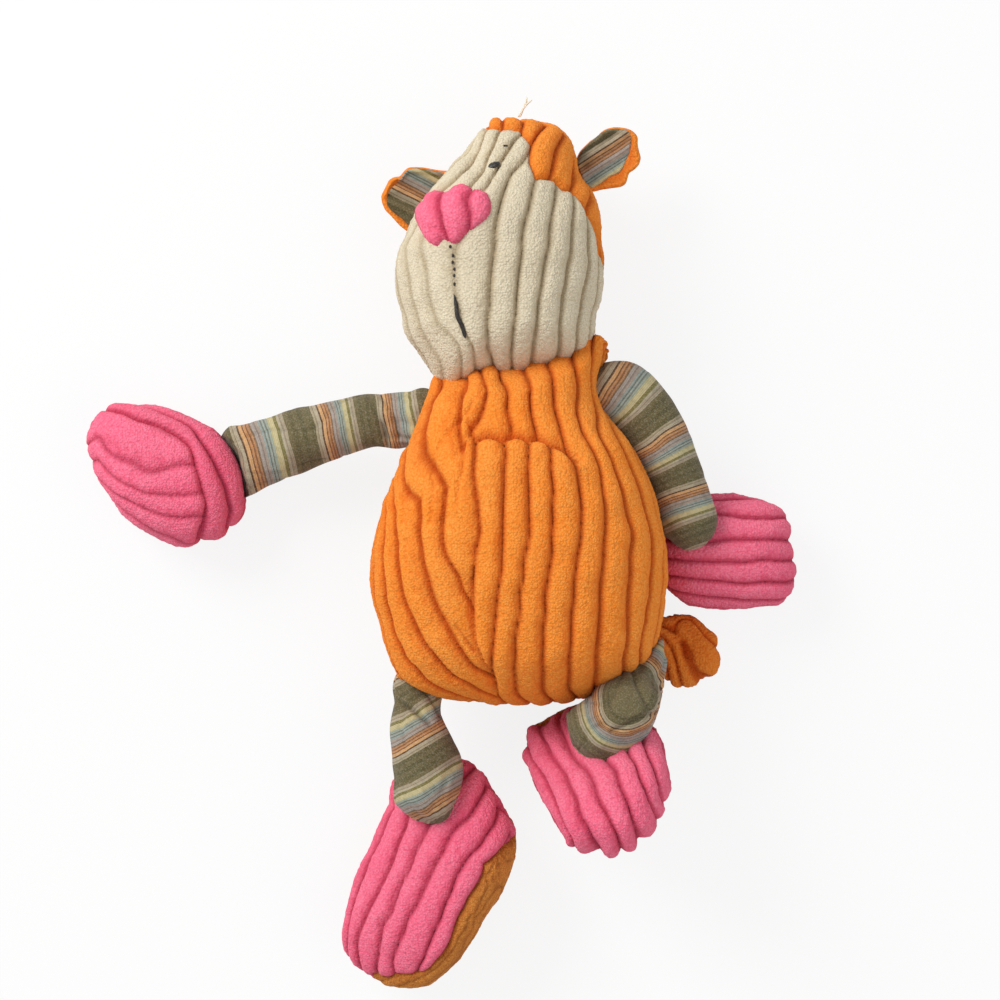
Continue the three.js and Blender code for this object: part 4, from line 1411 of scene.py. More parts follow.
    def _front_wales(self, surface: Surface) -> tuple[Points, Points]:
        """Wale numbers of the front, and the folds where ribs end.

        Args:
            surface: The body's surface.

        Returns:
            Wale numbers and the folds' lift.
        """
        across, down = to_pixels(surface.points).T
        upper, right, left = (wale_numbers(surface, valleys)
                              for valleys in (self.upper_valleys, self.right_valleys, self.left_valleys))
        fold, crease = np.array(self.fold, float).T, np.array(self.crease, float).T
        past_fold = across - np.interp(down, fold[1], fold[0])
        lower = np.where(past_fold > 0, right, left)
        share = lower - np.floor(lower)
        reach = self._window(across, self.crease_reach)
        scallop = self.crease_scallop * reach * (1 - (2 * share - 1) ** 2)
        below = down - (np.interp(across, crease[0], crease[1]) - scallop)
        width = 1 + self.crease_spread * (1 - reach)
        phase = upper + (lower - upper) * np.clip(below / (2 * width) + 0.5, 0, 1)
        folds = self.crease_edge.lift(below) * reach
        folds = folds + self.fold_edge.lift(past_fold) * self._window(down, self.fold_reach)
        for parting in self.partings:
            folds = folds + groove(to_pixels(surface.points), parting, 1.3, 2.2)
        return phase, folds * smooth_step(-0.05, 0.3, surface.normals[:, 2])


# The head


@dataclass(frozen=True)
class Head(SubAssembly):
    """The head: cream face, orange hood, nose, eyes, brows, mouth and crown thread."""

    spine: tuple[Place, ...] = ((-9, 73, 42.18), (-8, 116.89, 42.18), (-0.25, 159.63, 41.18),
                                (3.5, 188.5, 39.18))
    half_width: Profile = Profile(((0, 42), (0.22, 43.4), (0.38, 45.8), (0.53, 44.2), (0.63, 40.3),
                                   (0.72, 33.6), (0.83, 26.7), (1, 25.5)))
    half_depth: Profile = Profile(((0, 36.5), (0.22, 41), (0.38, 43), (0.53, 42.2), (0.7, 36.5),
                                   (0.85, 29.4), (1, 26)))
    domes: tuple[float, float] = (25, 17)
    roundness: float = 2.2
    face_angle: float = QUARTER_TURN + math.radians(27)
    snout_at: float = 72.0
    snout_size: tuple[float, float, float] = (17, 0.62, 7)
    fill_inset: float = 6.5
    middle: Pixel = (500, 250)
    outline: Run = (
        (484, 124), (474, 136), (467, 146), (456, 156), (450, 166), (440, 178), (430, 190), (418, 206),
        (414, 216), (410, 226), (406, 236), (399, 246), (397, 256), (395, 266), (395, 286), (396, 296),
        (399, 306), (401, 316), (402, 326), (406, 336), (411, 345), (420, 354), (427, 365), (434, 379),
        (441, 388), (450, 392), (458, 393), (466, 391), (474, 384), (482, 379), (488, 378), (495, 381),
        (502, 385), (512, 386), (521, 384), (530, 380), (538, 377), (546, 374), (554, 371), (566, 367),
        (575, 363), (582, 357), (588, 350), (594, 340), (596, 328), (597, 316), (600, 306), (603, 296),
        (606, 286), (607, 268), (606, 256), (603, 236), (600, 210), (594, 192), (584, 180), (578, 166),
        (577, 152), (573, 143), (567, 133), (562, 127), (548, 123), (533, 119), (517, 117), (498, 116),
        (487, 118), (484, 124),
    )
    face_valleys: Valleys = (
        (-4, ((405, 250), (410, 290), (420, 330), (440, 362))),
        (-3, ((499, 129), (490, 150), (484, 161), (483, 171), (470, 184))),
        (-3, ((421, 249), (427, 284), (435, 321), (458, 345))),
        (-2, ((520.7, 132), (511, 144), (506, 152), (498, 166), (490, 178), (482, 192))),
        (-2, ((455, 252), (454, 276), (456, 294), (460, 319), (467, 338))),
        (-1, ((531, 147), (522, 161), (518, 167), (509, 174), (508, 182), (504, 194), (500, 206),
            (497, 224), (491, 264), (487, 351))),
        (0, ((538, 177), (532, 196), (523, 239), (517, 304), (511, 362))),
        (1, ((559, 182), (550, 243), (540, 304), (533, 362))),
        (2, ((576, 192), (574, 243), (564, 300), (560, 353))),
        (3, ((590, 215), (591, 264), (580, 325))),
        (4, ((602, 250), (600, 290))),
    )
    hood_valleys: Valleys = (
        (-2, ((503, 118), (502, 126))),
        (-1, ((523, 117), (522, 128))),
        (0, ((547, 120), (538, 132), (531, 145), (529, 160))),
        (1, ((566, 134), (558, 150), (553, 172), (551, 180))),
        (2, ((581, 155), (577, 165), (574, 187))),
        (3, ((594, 190), (591, 205), (590, 230))),
    )
    hood_outline: Run = (
        (400, 126), (484, 126), (501, 126), (521, 128), (531, 143), (529, 160), (537, 176), (560, 180),
        (564, 188), (576, 190), (591, 211), (599, 235), (605, 262), (612, 300), (720, 300), (720, 60),
        (400, 60),
    )
    nose_outline: Run = (
        (413, 207), (424, 201), (428, 194), (436, 190), (448, 190), (455, 185), (462, 183), (472, 187),
        (480, 190), (488, 193), (492, 203), (491, 213), (486, 220), (478, 226), (472, 231), (464, 236),
        (459, 242), (450, 245), (444, 240), (438, 247), (430, 244), (424, 238), (418, 230), (412, 220),
    )
    nose_valleys: Valleys = (
        (0, ((420, 190), (414, 215), (424, 244))),
        (1, ((445, 190), (442, 196), (442, 205), (444, 215), (445, 223), (448, 232), (449, 242))),
        (2, ((472, 190), (468, 196), (468, 205), (470, 213), (471, 220), (469, 230))),
        (3, ((494, 190), (496, 208), (494, 228))),
    )
    nose_heights: tuple[float, float] = (48, 58)
    eye_pixel: Pixel = (493.5, 165)
    eye_way: Place = (0.9, 0.45, 0)
    brow_pixel: Pixel = (505, 145)
    mouth_dots: Run = (
        (451, 247), (452, 255), (453, 262), (453, 269), (453.5, 276), (454, 284),
    )
    mouth_line: Run = (
        (454, 294), (455, 302), (458, 319), (462, 331), (466, 337),
    )
    crown_height: float = 39.4
    crown_ends: tuple[Run, ...] = (
        ((519, 117), (522, 110), (526, 103), (527, 97)),
        ((519, 117), (523, 109), (528, 103), (532, 100)),
        ((518, 117), (522, 111), (525, 105), (527, 101)),
        ((520, 117), (522, 112), (524, 107), (525, 103)),
    )

    def _snout(self, distance: Points, angle: Points) -> Points:
        """The muzzle's swelling: highest at the nose, gone at the cheeks.

        Args:
            distance: Distances along the spine.
            angle: Angles round it.

        Returns:
            The swelling in millimetres.
        """
        length, turn, height = self.snout_size
        return height * bell(distance - self.snout_at, length) * bell(angle - self.face_angle, turn)

    def build(self, bench: Workbench) -> None:
        """Makes every piece of the head on the bench.

        Args:
            bench: Where they are finished.
        """
        form = StuffedForm(self.spine, self.half_width, self.half_depth, *self.domes,
                           roundness=self.roundness, bulge=self._snout)
        form.fit = RoundFit(form.surface(FIT_STEP), self.middle, self.outline)
        surface = form.surface()
        pixels = to_pixels(surface.points)
        own = self._face_side(surface, pixels)
        face = Cloth("face", 3.0)
        left_of_mouth = (1 - smooth_step(440, 500, pixels[:, 0])) * smooth_step(200, 240, pixels[:, 1])
        phase = wale_numbers(surface, self.face_valleys)
        panel = face.build(surface, own, phase, flatness=0.72 * left_of_mouth)
        bench.join(panel, "head", "face_panel", Finish.CREAM_PLUSH, fill=0.7)
        straight = surface.aside / WALE_PITCH
        front = smooth_step(30, 52, surface.points[:, 2])
        phase = straight + (wale_numbers(surface, self.hood_valleys) - straight) * front
        panel = Cloth("hood", 3.6).build(surface, -own, phase)
        bench.join(panel, "head", "hood_panel", Finish.ORANGE_PLUSH, fill=0.7)
        bench.stuff("head", form, self.fill_inset, 0.6)
        self._nose(bench, surface, pixels)
        self._eyes(bench, surface, face.places)
        self._threads(bench, surface, face.places)

    def _face_side(self, surface: Surface, pixels: Points) -> Points:
        """Which side of the hood's seam the head's points are on.

        Args:
            surface: The head's surface.
            pixels: Where its points show.

        Returns:
            Distances inside the face's outline, in millimetres.
        """
        forward = np.array([math.cos(self.face_angle), 0, math.sin(self.face_angle)])
        plane = (surface.points - np.array(self.spine[1])) @ forward
        hood = -outline_gap(pixels, self.hood_outline) * MILLIMETRES_PER_PIXEL
        return side_blend(plane, hood, smooth_step(-0.35, -0.02, surface.normals[:, 2]))

    def _nose(self, bench: Workbench, surface: Surface, pixels: Points) -> None:
        """Makes the nose: pink plush laid over the snout.

        Args:
            bench: Where it is finished.
            surface: The head's surface.
            pixels: Where its points show.
        """
        own = outline_gap(pixels, self.nose_outline) * MILLIMETRES_PER_PIXEL
        outside = np.full(len(own), -SIDE_LIMIT)
        own = side_blend(outside, own, smooth_step(*self.nose_heights, surface.points[:, 2]))
        puff = 3.0 * np.sqrt(np.clip(own / 9, 0, 1))
        phase = wale_numbers(surface, self.nose_valleys)
        nose = Cloth("nose", 2.8).build(surface, own, phase, folds=puff + 1.2)
        bench.join(nose, "head", "nose_patch", Finish.PINK_PLUSH, fill=0.6)

    def _eyes(self, bench: Workbench, surface: Surface, cloth: Points) -> None:
        """Makes the eyes and the brows: the left ones at their pixels, the right ones at their CAD nodes.

        Args:
            bench: Where they are finished.
            surface: The head's surface.
            cloth: Where the face's cloth lies at each of its points.
        """
        for node, pixel in (("left_eye", self.eye_pixel), ("right_eye", None)):
            centre, up = self._seat(surface, cloth, node, pixel)
            way = unit(np.cross(np.cross(up, self.eye_way), up))
            bench.join(eye_pad(node + "_stitching", centre, up, way), "head", node, Finish.BLACK_THREAD)
        for node, pixel in (("left_brow", self.brow_pixel), ("right_brow", None)):
            centre, up = self._seat(surface, cloth, node, pixel)
            way = unit(np.cross(up, np.array([0.0, 1.0, 0.0])))
            spots = [centre + way * gap for gap in (-0.5, 0.5)]
            runs = [np.stack([spot - way * 0.5, spot + up * 0.2, spot + way * 0.5]) for spot in spots]
            bench.join(strands(node + "_thread", runs, 0.42), "head", node, Finish.BLACK_THREAD)

    def _threads(self, bench: Workbench, surface: Surface, cloth: Points) -> None:
        """Makes the mouth, and the thread ends on the crown.

        Args:
            bench: Where they are finished.
            surface: The head's surface.
            cloth: Where the face's cloth lies at each of its points.
        """
        middles = self._along_cloth(surface, cloth, self.mouth_dots)
        dots = [np.stack([place + np.array([0, gap, 0]) for gap in (0.65, 0, -0.65)]) for place in middles]
        line = self._along_cloth(surface, cloth, spread(self.mouth_line, 11))
        mouth = strands("mouth_thread", [*dots, line], 0.55, widest=0.95)
        bench.join(mouth, "head", "mouth_stitch", Finish.BLACK_THREAD)
        runs = [spread(run, 3) for run in self.crown_ends]
        ends = [from_pixels(run, np.full(len(run), self.crown_height)) for run in runs]
        bench.join(strands("crown_thread_ends", ends, 0.42), "head", "crown_thread", Finish.CREAM_THREAD)

    @staticmethod
    def _seat(surface: Surface, cloth: Points, node: str, pixel: Pixel | None) -> tuple[Points, Points]:
        """Where a stitch sits on the cloth.

        Args:
            surface: The head's surface.
            cloth: Where the face's cloth lies at each of its points.
            node: The stitch's CAD node.
            pixel: The pixel where it shows, or nothing if it is on the side turned away.

        Returns:
            Its place, and the way up from the cloth.
        """
        if pixel is None:
            middle = np.mean(np.array(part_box(node), float), axis=0) / MILLIMETRE
            towards = np.where(surface.normals[:, 2] < -0.15, 0.0, 50.0)
            place = int((np.linalg.norm(surface.points - middle, axis=1) + towards).argmin())
        else:
            place = int(surface.nearest([pixel])[0])
        return cloth[place] + surface.normals[place] * 0.2, surface.normals[place]

    @staticmethod
    def _along_cloth(surface: Surface, cloth: Points, run: Run) -> Points:
        """A run of pixels laid on the cloth."""
        chosen = surface.nearest(run)
        return cloth[chosen] + surface.normals[chosen] * 0.3


def eye_pad(name: str, centre: Points, up: Points, way: Points) -> bpy.types.Object:
    """A small eye of satin stitches: a low oval pad with a ridge for every thread.

    Args:
        name: The piece's name.
        centre: Its middle, in millimetres.
        up: The way out of the cloth.
        way: The way of its long axis.

    Returns:
        The pad.
    """
    half_length, half_width, height = 2.7, 1.7, 0.9
    threads, rows, columns = 9, 14, 72
    beside = np.cross(way, up)
    turn = np.arange(columns) / columns * FULL_TURN
    rise = np.linspace(-QUARTER_TURN, QUARTER_TURN, rows + 2)[1:-1]
    reach, lift = np.cos(rise)[:, None], np.sin(rise)[:, None] * np.ones(columns)
    length = reach * np.cos(turn)
    ridge = 1 + 0.07 * np.cos(length * math.pi * threads)
    points = (centre + way * (half_length * length)[..., None]
              + beside * (half_width * ridge * reach * np.sin(turn))[..., None]
              + up * (height * ridge * lift)[..., None]).reshape(-1, 3)
    points = np.vstack([points, centre - up * height, centre + up * height])
    return make_mesh(name, points, closed_faces(rows, columns), place=points * MILLIMETRE)


def strands(name: str, runs: Sequence[Points], radius: float,
            widest: float | None = None) -> bpy.types.Object:
    """Round threads along runs of points, all in one piece.

    Args:
        name: The piece's name.
        runs: The middle line of each thread, in millimetres.
        radius: The threads' radius.
        widest: The radius that the last thread grows to, where it is thicker.

    Returns:
        The threads.
    """
    columns = 10
    turn = np.arange(columns) / columns * FULL_TURN
    points, faces = [], []
    for number, run in enumerate(runs):
        fine = Spine(run)
        rings = max(6, round(fine.length / 0.35))
        distance = np.linspace(0, fine.length, rings)
        centre, tangent = fine.at(distance)
        side = unit(np.cross(tangent, np.array([0.13, 0.2, 1.0])))
        above = np.cross(side, tangent)
        share = distance / fine.length
        size = radius * np.sqrt(np.clip(1 - (2 * share - 1) ** 8, 0.15, 1))
        if widest and number == len(runs) - 1:
            size = size * (1 + (widest / radius - 1) * smooth_step(0, 0.35, share))
        grid = centre[:, None, :] + size[:, None, None] * (
            side[:, None, :] * np.cos(turn)[:, None] + above[:, None, :] * np.sin(turn)[:, None])
        first = sum(len(part) for part in points)
        points.append(np.vstack([grid.reshape(-1, 3), centre[:1] - tangent[:1] * radius * 0.4,
                                 centre[-1:] + tangent[-1:] * radius * 0.4]))
        faces += [[corner + first for corner in face] for face in closed_faces(rings, columns)]
    joined = np.vstack(points)
    return make_mesh(name, joined, faces, place=joined * MILLIMETRE)


# The ears


@dataclass(frozen=True)
class Ear(SubAssembly):
    """An ear: a cupped plush back with a rolled rim, and a folded jersey lining in it."""

    side: str
    middle: Pixel
    outline: Run
    lining_middle: Pixel
    lining: Run
    height: float
    across_stripes: tuple[float, float]
    first_band: float
    root: Pixel
    cup: float = 3.2
    thickness: float = 3.0
    lining_thickness: float = 0.9
    directions: int = 120
    rings: int = 26

    def build(self, bench: Workbench) -> None:
        """Makes the back and the lining on the bench.

        Args:
            bench: Where they are finished.
        """
        body = f"{self.side}_ear"
        pixels, share = self._disc(self.outline, self.middle)
        front = self._dish(pixels)
        behind = front - self.thickness * np.sqrt(np.clip(1 - share**5, 0, 1)) - 1.5 * (1 - share**2)
        # Painted shade: the back darker away from its rim, and the rim's far flank darker through the nap
        # field.
        flank = smooth_step(0.75, 0.95, share)
        back = self._shell(f"{body}_plush", pixels, front, behind, valley=0.5 * (1 - flank), nap=0.4 * flank)
        bench.join(back, body, f"{body}_back", Finish.ORANGE_PLUSH, fill=0.3)
        pixels, share = self._disc(self.lining, self.lining_middle)
        base = self._dish(pixels)
        from_root = pixels - np.array(self.root)
        across = from_root @ unit(np.array(self.across_stripes)) * MILLIMETRES_PER_PIXEL
        ripple = np.sin(across * 1.05 + 0.6 * np.sin(pixels[:, 0] * 0.12))
        edge = np.sqrt(np.clip(1 - share**6, 0, 1))
        front = base + (self.lining_thickness + 0.7 * ripple) * edge
        shade = np.clip(np.maximum(-ripple, 0) * 0.5 + bell(np.linalg.norm(from_root, axis=1), 11), 0, 1)
        lining = self._shell(f"{body}_jersey", pixels, front, base - 0.4 * edge,
                             along=(across + self.first_band) * MILLIMETRE, valley=shade)
        bench.join(lining, body, f"{body}_lining", Finish.STRIPED_JERSEY, fill=0.2)

    def _disc(self, outline: Run, middle: Pixel) -> tuple[Points, Points]:
        """Rings of pixels from an outline's middle out to it.

        Args:
            outline: The outline's corners.
            middle: The pixel in its middle.

        Returns:
            The pixels, and the share of the way out of each.
        """
        turn = np.arange(self.directions) / self.directions * FULL_TURN
        direction = np.stack([np.cos(turn), -np.sin(turn)], axis=1)
        reach = eased(cast(np.array(middle, float), direction, (*outline, outline[0])), 1, True)
        share = np.linspace(0, 1, self.rings + 1)[1:]
        pixels = np.array(middle) + share[:, None, None] * (direction * reach[:, None])[None, :, :]
        return pixels.reshape(-1, 2), np.repeat(share, self.directions)

    def _dish(self, pixels: Points) -> Points:
        """The ear's cupped front.

        Args:
            pixels: Places in the picture.

        Returns:
            Heights in millimetres.
        """
        offset = pixels - np.array(self.middle)
        reach = cast(np.array(self.middle, float), unit(offset), (*self.outline, self.outline[0]))
        share = np.clip(np.linalg.norm(offset, axis=1) / np.nan_to_num(reach, nan=1e3), 0, 1)
        rim = 1.3 * bell(share - 0.88, 0.09)
        return self.height - self.cup * (1 - share**2) + rim - 1.3 * share**6

    def _shell(self, name: str, pixels: Points, front: Points, behind: Points,
               **fields: Points) -> bpy.types.Object:
        """A closed shell between two heights over a disc of pixels.

        Args:
            name: The piece's name.
            pixels: The disc's rings, from the middle out.
            front: Height of the front at each.
            behind: Height of the back at each.
            **fields: Values at each pixel that the finish reads.

        Returns:
            The shell.
        """
        count = self.directions
        order = np.arange(len(pixels) - count).reshape(-1, count)[::-1].reshape(-1)
        numbers = np.concatenate([np.arange(len(pixels)), order])
        grid = from_pixels(pixels[numbers], np.concatenate([front, behind[order]]))
        middle = np.repeat(pixels[:count].mean(axis=0, keepdims=True), 2, axis=0)
        poles = from_pixels(middle, np.array([front[:count].mean(), behind[:count].mean()]))
        points = np.vstack([grid, poles])
        spread_out = {label: np.concatenate([values[numbers], [values[0], values[0]]])
                      for label, values in fields.items()}
        faces = closed_faces(len(numbers) // count, count)
        return make_mesh(name, points, faces, place=points * MILLIMETRE, **spread_out)


LEFT_EAR = Ear(
    side="left", middle=(610, 158), lining_middle=(604, 158), height=40.3, across_stripes=(0.55, 0.83),
    first_band=27.1, root=(581, 158),
    outline=(
        (575, 165), (577, 157), (580, 151), (585, 146), (590, 141), (597, 137), (601, 132), (606, 129),
        (614, 127), (622, 127.5), (629, 129), (634, 132), (638, 137), (637.5, 144), (639, 151), (641, 158),
        (639, 165), (634, 170), (629, 173), (627, 180), (626, 184), (621, 187), (610, 188.5), (600, 190),
        (594, 192), (588, 191), (583, 186), (578, 177),
    ),
    lining=(
        (576, 164), (577.5, 158), (580.5, 152), (590, 142), (601, 133), (606, 130), (614, 128.5),
        (622, 129), (629, 131), (632, 137), (631, 144), (630, 152), (627, 158), (625, 163), (623, 168),
        (619, 173), (610, 176.5), (600, 184), (592, 188), (587, 187), (583, 182), (580, 174),
    ),
)
RIGHT_EAR = Ear(
    side="right", middle=(410, 197), lining_middle=(411, 196), height=20.3, across_stripes=(0.45, -0.9),
    first_band=4.0, root=(438, 200),
    outline=(
        (408, 232), (400, 226), (392, 217), (385, 210), (382, 203), (381, 196), (385, 188), (389, 180),
        (394, 177), (400, 176.5), (404, 171), (408, 167.5), (415, 167), (424, 167.5), (432, 169),
        (440, 170.5), (450, 171), (462, 174), (464, 186), (461, 198), (453, 212), (443, 224), (430, 233),
        (417, 235),
    ),
    lining=(
        (409, 226), (403, 219.5), (396, 214.5), (390, 209.5), (387, 204), (387, 196), (391, 188),
        (396, 183.5), (401, 178), (404, 173), (410, 169), (417, 168), (430, 170), (440, 172), (452, 175),
        (452, 190), (444, 203), (432, 216), (420, 227),
    ),
)


# The hands and feet


@dataclass(frozen=True)
class PawHalf:
    """One sewn half of a paw."""

    node: str
    finish: Finish
    depth: float
    valleys: Valleys = ()
    shade: float = 0.0
    flatness: float = 0.0


@dataclass(frozen=True)
class Paw(SubAssembly):
    """A hand or a foot: two sewn halves of plush, the near one first, over their fill."""

    body: str
    heel: Place
    toe: Place
    length: float
    width: float
    heel_width: float
    toe_width: float
    depth: float
    middle: Pixel
    outline: Run
    halves: tuple[PawHalf, PawHalf]
    near_part: Run = ()
    depth_axis: Place = (0, 0, 1)
    seam_axis: Place | None = None
    seam_drop: float = 0.0
    by_picture: bool = False
    roundness: float = 2.3
    fill_inset: float = 6.5

    def _form(self) -> StuffedForm:
        """The rounded, slightly square form, fitted to its outline.

        Returns:
            The form.
        """
        heel, toe = np.array(self.heel), np.array(self.toe)
        widths = Profile(((0, self.heel_width / 2), (0.5, self.width / 2), (1, self.toe_width / 2)))
        depths = Profile(((0, self.depth * 0.45), (0.5, self.depth / 2), (1, self.depth * 0.45)))
        dome = 0.3 * self.length
        form = StuffedForm([heel, (heel + toe) / 2, toe], widths, depths, dome, dome, self.depth_axis,
                           self.roundness)
        form.fit = RoundFit(form.surface(FIT_STEP), self.middle, self.outline)
        return form

    def build(self, bench: Workbench) -> None:
        """Makes the halves and the fill on the bench.

        Args:
            bench: Where they are finished.
        """
        form = self._form()
        surface = form.surface()
        facing = surface.normals[:, 2]
        centre = (np.array(self.heel) + np.array(self.toe)) / 2
        seam_axis = unit(np.array(self.seam_axis or self.depth_axis, float))
        near = (surface.points - centre) @ seam_axis + self.seam_drop
        if self.near_part:
            shown = outline_gap(to_pixels(surface.points), self.near_part) * MILLIMETRES_PER_PIXEL
            near = side_blend(near, shown, smooth_step(-0.35, 0.2, facing))
        straight = surface.aside / WALE_PITCH + 0.5
        turned_away = 0.85 * (1 - smooth_step(-0.25, 0.05, facing)) if self.by_picture else 0.0
        for half, own in zip(self.halves, (near, -near)):
            phase = wale_numbers(surface, half.valleys, self.by_picture) if half.valleys else straight
            if self.by_picture:
                phase = np.where(facing > -0.5, phase, straight)
            cloth = Cloth(f"{half.node}_cloth", half.depth, half.shade)
            panel = cloth.build(surface, own, phase, flatness=np.maximum(half.flatness, turned_away))
            bench.join(panel, self.body, half.node, half.finish, fill=0.7)
        bench.stuff(self.body, form, self.fill_inset, 0.6)


RIGHT_HAND = Paw(
    body="right_hand", heel=(-122.95, 16.97, 20.31), toe=(-191.55, 41.94, 20.31), length=73, width=62,
    heel_width=58, toe_width=50, depth=42, middle=(165, 475),
    outline=(
        (86, 440), (88, 426), (94, 416), (102, 406), (115, 402), (135, 403), (161, 406), (178, 410),
        (193, 416), (215, 426), (230, 441), (240, 455), (246, 472), (249, 490), (248, 505), (246, 517),
        (238, 521), (231, 531), (222, 539), (207, 541), (200, 545), (188, 548), (174, 546), (152, 536),
        (135, 526), (123, 516), (117, 506), (108, 496), (103, 486), (95, 474), (91, 458), (86, 445),
        (86, 440),
    ),
    near_part=(
        (60, 398), (95, 407), (110, 409), (124, 412), (137, 419), (160, 425), (178, 435), (190, 447),
        (194, 465), (199, 485), (206, 505), (203, 520), (198, 534), (192, 600), (20, 600), (20, 380),
    ),
    halves=(
        PawHalf("right_hand_palm", Finish.PINK_PLUSH, depth=2.6, flatness=0.4, valleys=(
            (-1, ((80, 425), (100, 405), (124, 408))),
            (0, ((96, 437), (104, 450), (112, 456), (126, 459), (133, 466), (141, 470), (160, 471),
                (175, 466))),
            (-0.5, ((115, 431), (128, 436), (148, 447), (170, 455))),
            (1, ((98, 462), (112, 477), (123, 484), (140, 491), (160, 496), (185, 494))),
            (2, ((118, 497), (146, 510), (160, 515), (175, 519), (195, 518))),
            (3, ((135, 520), (160, 536), (185, 545))),
        )),
        PawHalf("right_hand_back", Finish.PINK_PLUSH, depth=4.4, shade=0.22, valleys=(
            (0, ((110, 408), (124, 411), (137, 418), (160, 424), (178, 434), (191, 446), (195, 465),
                (200, 485), (207, 505), (204, 520), (200, 540))),
            (1, ((140, 402), (160, 409), (190, 422), (207, 447), (220, 470), (228, 490), (232, 510),
                (230, 530))),
            (2, ((180, 408), (215, 424), (232, 441), (246, 467), (250, 499), (247, 518))),
        )),
    ),
)
LEFT_HAND = Paw(
    body="left_hand", heel=(60.90, -3.34, 19.24), toe=(122.90, -3.34, 19.24), length=62, width=51,
    heel_width=46, toe_width=48, depth=40, middle=(728, 552),
    outline=(
        (700, 494), (712, 494), (735, 493), (750, 496), (765, 500), (777, 505), (787, 514), (792, 526),
        (791, 540), (795, 556), (797, 570), (796, 580), (794, 588), (790, 597), (779, 606), (765, 606),
        (745, 610), (720, 610), (700, 608), (685, 604), (675, 598), (668, 590),
    ),
    halves=(
        PawHalf("left_hand_back", Finish.PINK_PLUSH, depth=2.6, valleys=(
            (0, ((715, 499), (740, 497), (768, 498))),
            (1, ((712, 512), (740, 516), (768, 517), (790, 519))),
            (2, ((680, 541), (710, 541), (745, 540), (790, 540))),
            (3, ((675, 560), (710, 562), (745, 562), (792, 560))),
            (4, ((675, 578), (710, 582), (745, 585), (790, 583))),
            (5, ((690, 596), (720, 600), (750, 602), (780, 602))),
        )),
        PawHalf("left_hand_palm", Finish.PINK_PLUSH, depth=2.6),
    ),
)
RIGHT_FOOT = Paw(
    body="right_foot", heel=(-24.54, -96.55, 26.70), toe=(-54.95, -196.01, 26.70), length=104, width=74,
    heel_width=60, toe_width=64, depth=45, depth_axis=(-0.43, 0.13, 0.89), seam_drop=5, middle=(432, 870),
    outline=(
        (394, 796), (388, 806), (383, 816), (378, 826), (374, 836), (370, 846), (365, 856), (360, 866),
        (356, 876), (352, 886), (349, 896), (346, 906), (343, 921), (341, 936), (342, 948), (347, 957),
        (354, 966), (362, 972), (369, 977), (378, 981), (384, 986), (392, 988), (402, 987), (410, 988),
        (418, 989), (426, 987), (433, 984), (442, 977), (453, 966), (463, 956), (468, 946), (475, 936),
        (481, 926), (487, 916), (494, 906), (501, 896), (506, 886), (509, 876), (512, 866), (515, 856),
        (517, 842), (516, 830), (514, 822), (510, 814), (503, 806), (501, 797), (496, 791), (490, 785),
        (487, 776), (482, 769), (475, 766), (470, 761), (463, 758), (455, 758),
    ),
    near_part=(
        (535, 834), (516, 838), (508, 846), (500, 854), (492, 861), (485, 864), (485, 876), (480, 886),
        (470, 898), (466, 910), (460, 918), (456, 928), (453, 938), (450, 948), (444, 957), (437, 962),
        (430, 970), (424, 974), (410, 977), (398, 976), (390, 979), (380, 979), (372, 976), (362, 985),
        (300, 1000), (300, 740), (560, 740),
    ),
    halves=(
        PawHalf("right_foot_upper", Finish.PINK_PLUSH, depth=3.2, valleys=(
            (-1, ((386, 818), (374, 845), (362, 872), (352, 900), (346, 925), (346, 950))),
            (0, ((404, 826), (395, 850), (385, 873), (378, 889), (369, 904), (361, 922), (355, 945))),
            (1, ((428, 826), (415, 848), (410, 862), (400, 884), (394, 900), (388, 915), (380, 930),
                (377, 950), (375, 972))),
            (2, ((478, 803), (470, 815), (458, 825), (448, 838), (442, 852), (433, 868), (425, 882),
                (418, 897), (412, 910), (404, 922), (399, 938), (393, 955), (391, 966), (394, 976))),
            (3, ((503, 808), (497, 822), (486, 838), (478, 850), (466, 860), (460, 872), (452, 886),
                (448, 900), (441, 915), (434, 932), (428, 948), (420, 965), (417, 973))),
            (4, ((514, 838), (500, 854), (485, 872), (472, 897), (460, 918), (450, 948), (437, 964))),
        )),
        PawHalf("right_foot_sole", Finish.SOLE_PLUSH, depth=2.6, flatness=0.75, valleys=(
            (0, ((516, 838), (500, 854), (486, 868), (474, 893), (462, 915), (450, 948), (430, 970),
                (400, 977))),
            (1, ((508, 862), (490, 882), (482, 900), (473, 916), (463, 932), (455, 948), (440, 966),
                (418, 980))),
            (2, ((517, 850), (506, 886), (487, 916), (468, 946), (442, 977), (418, 989))),
        )),
    ),
)
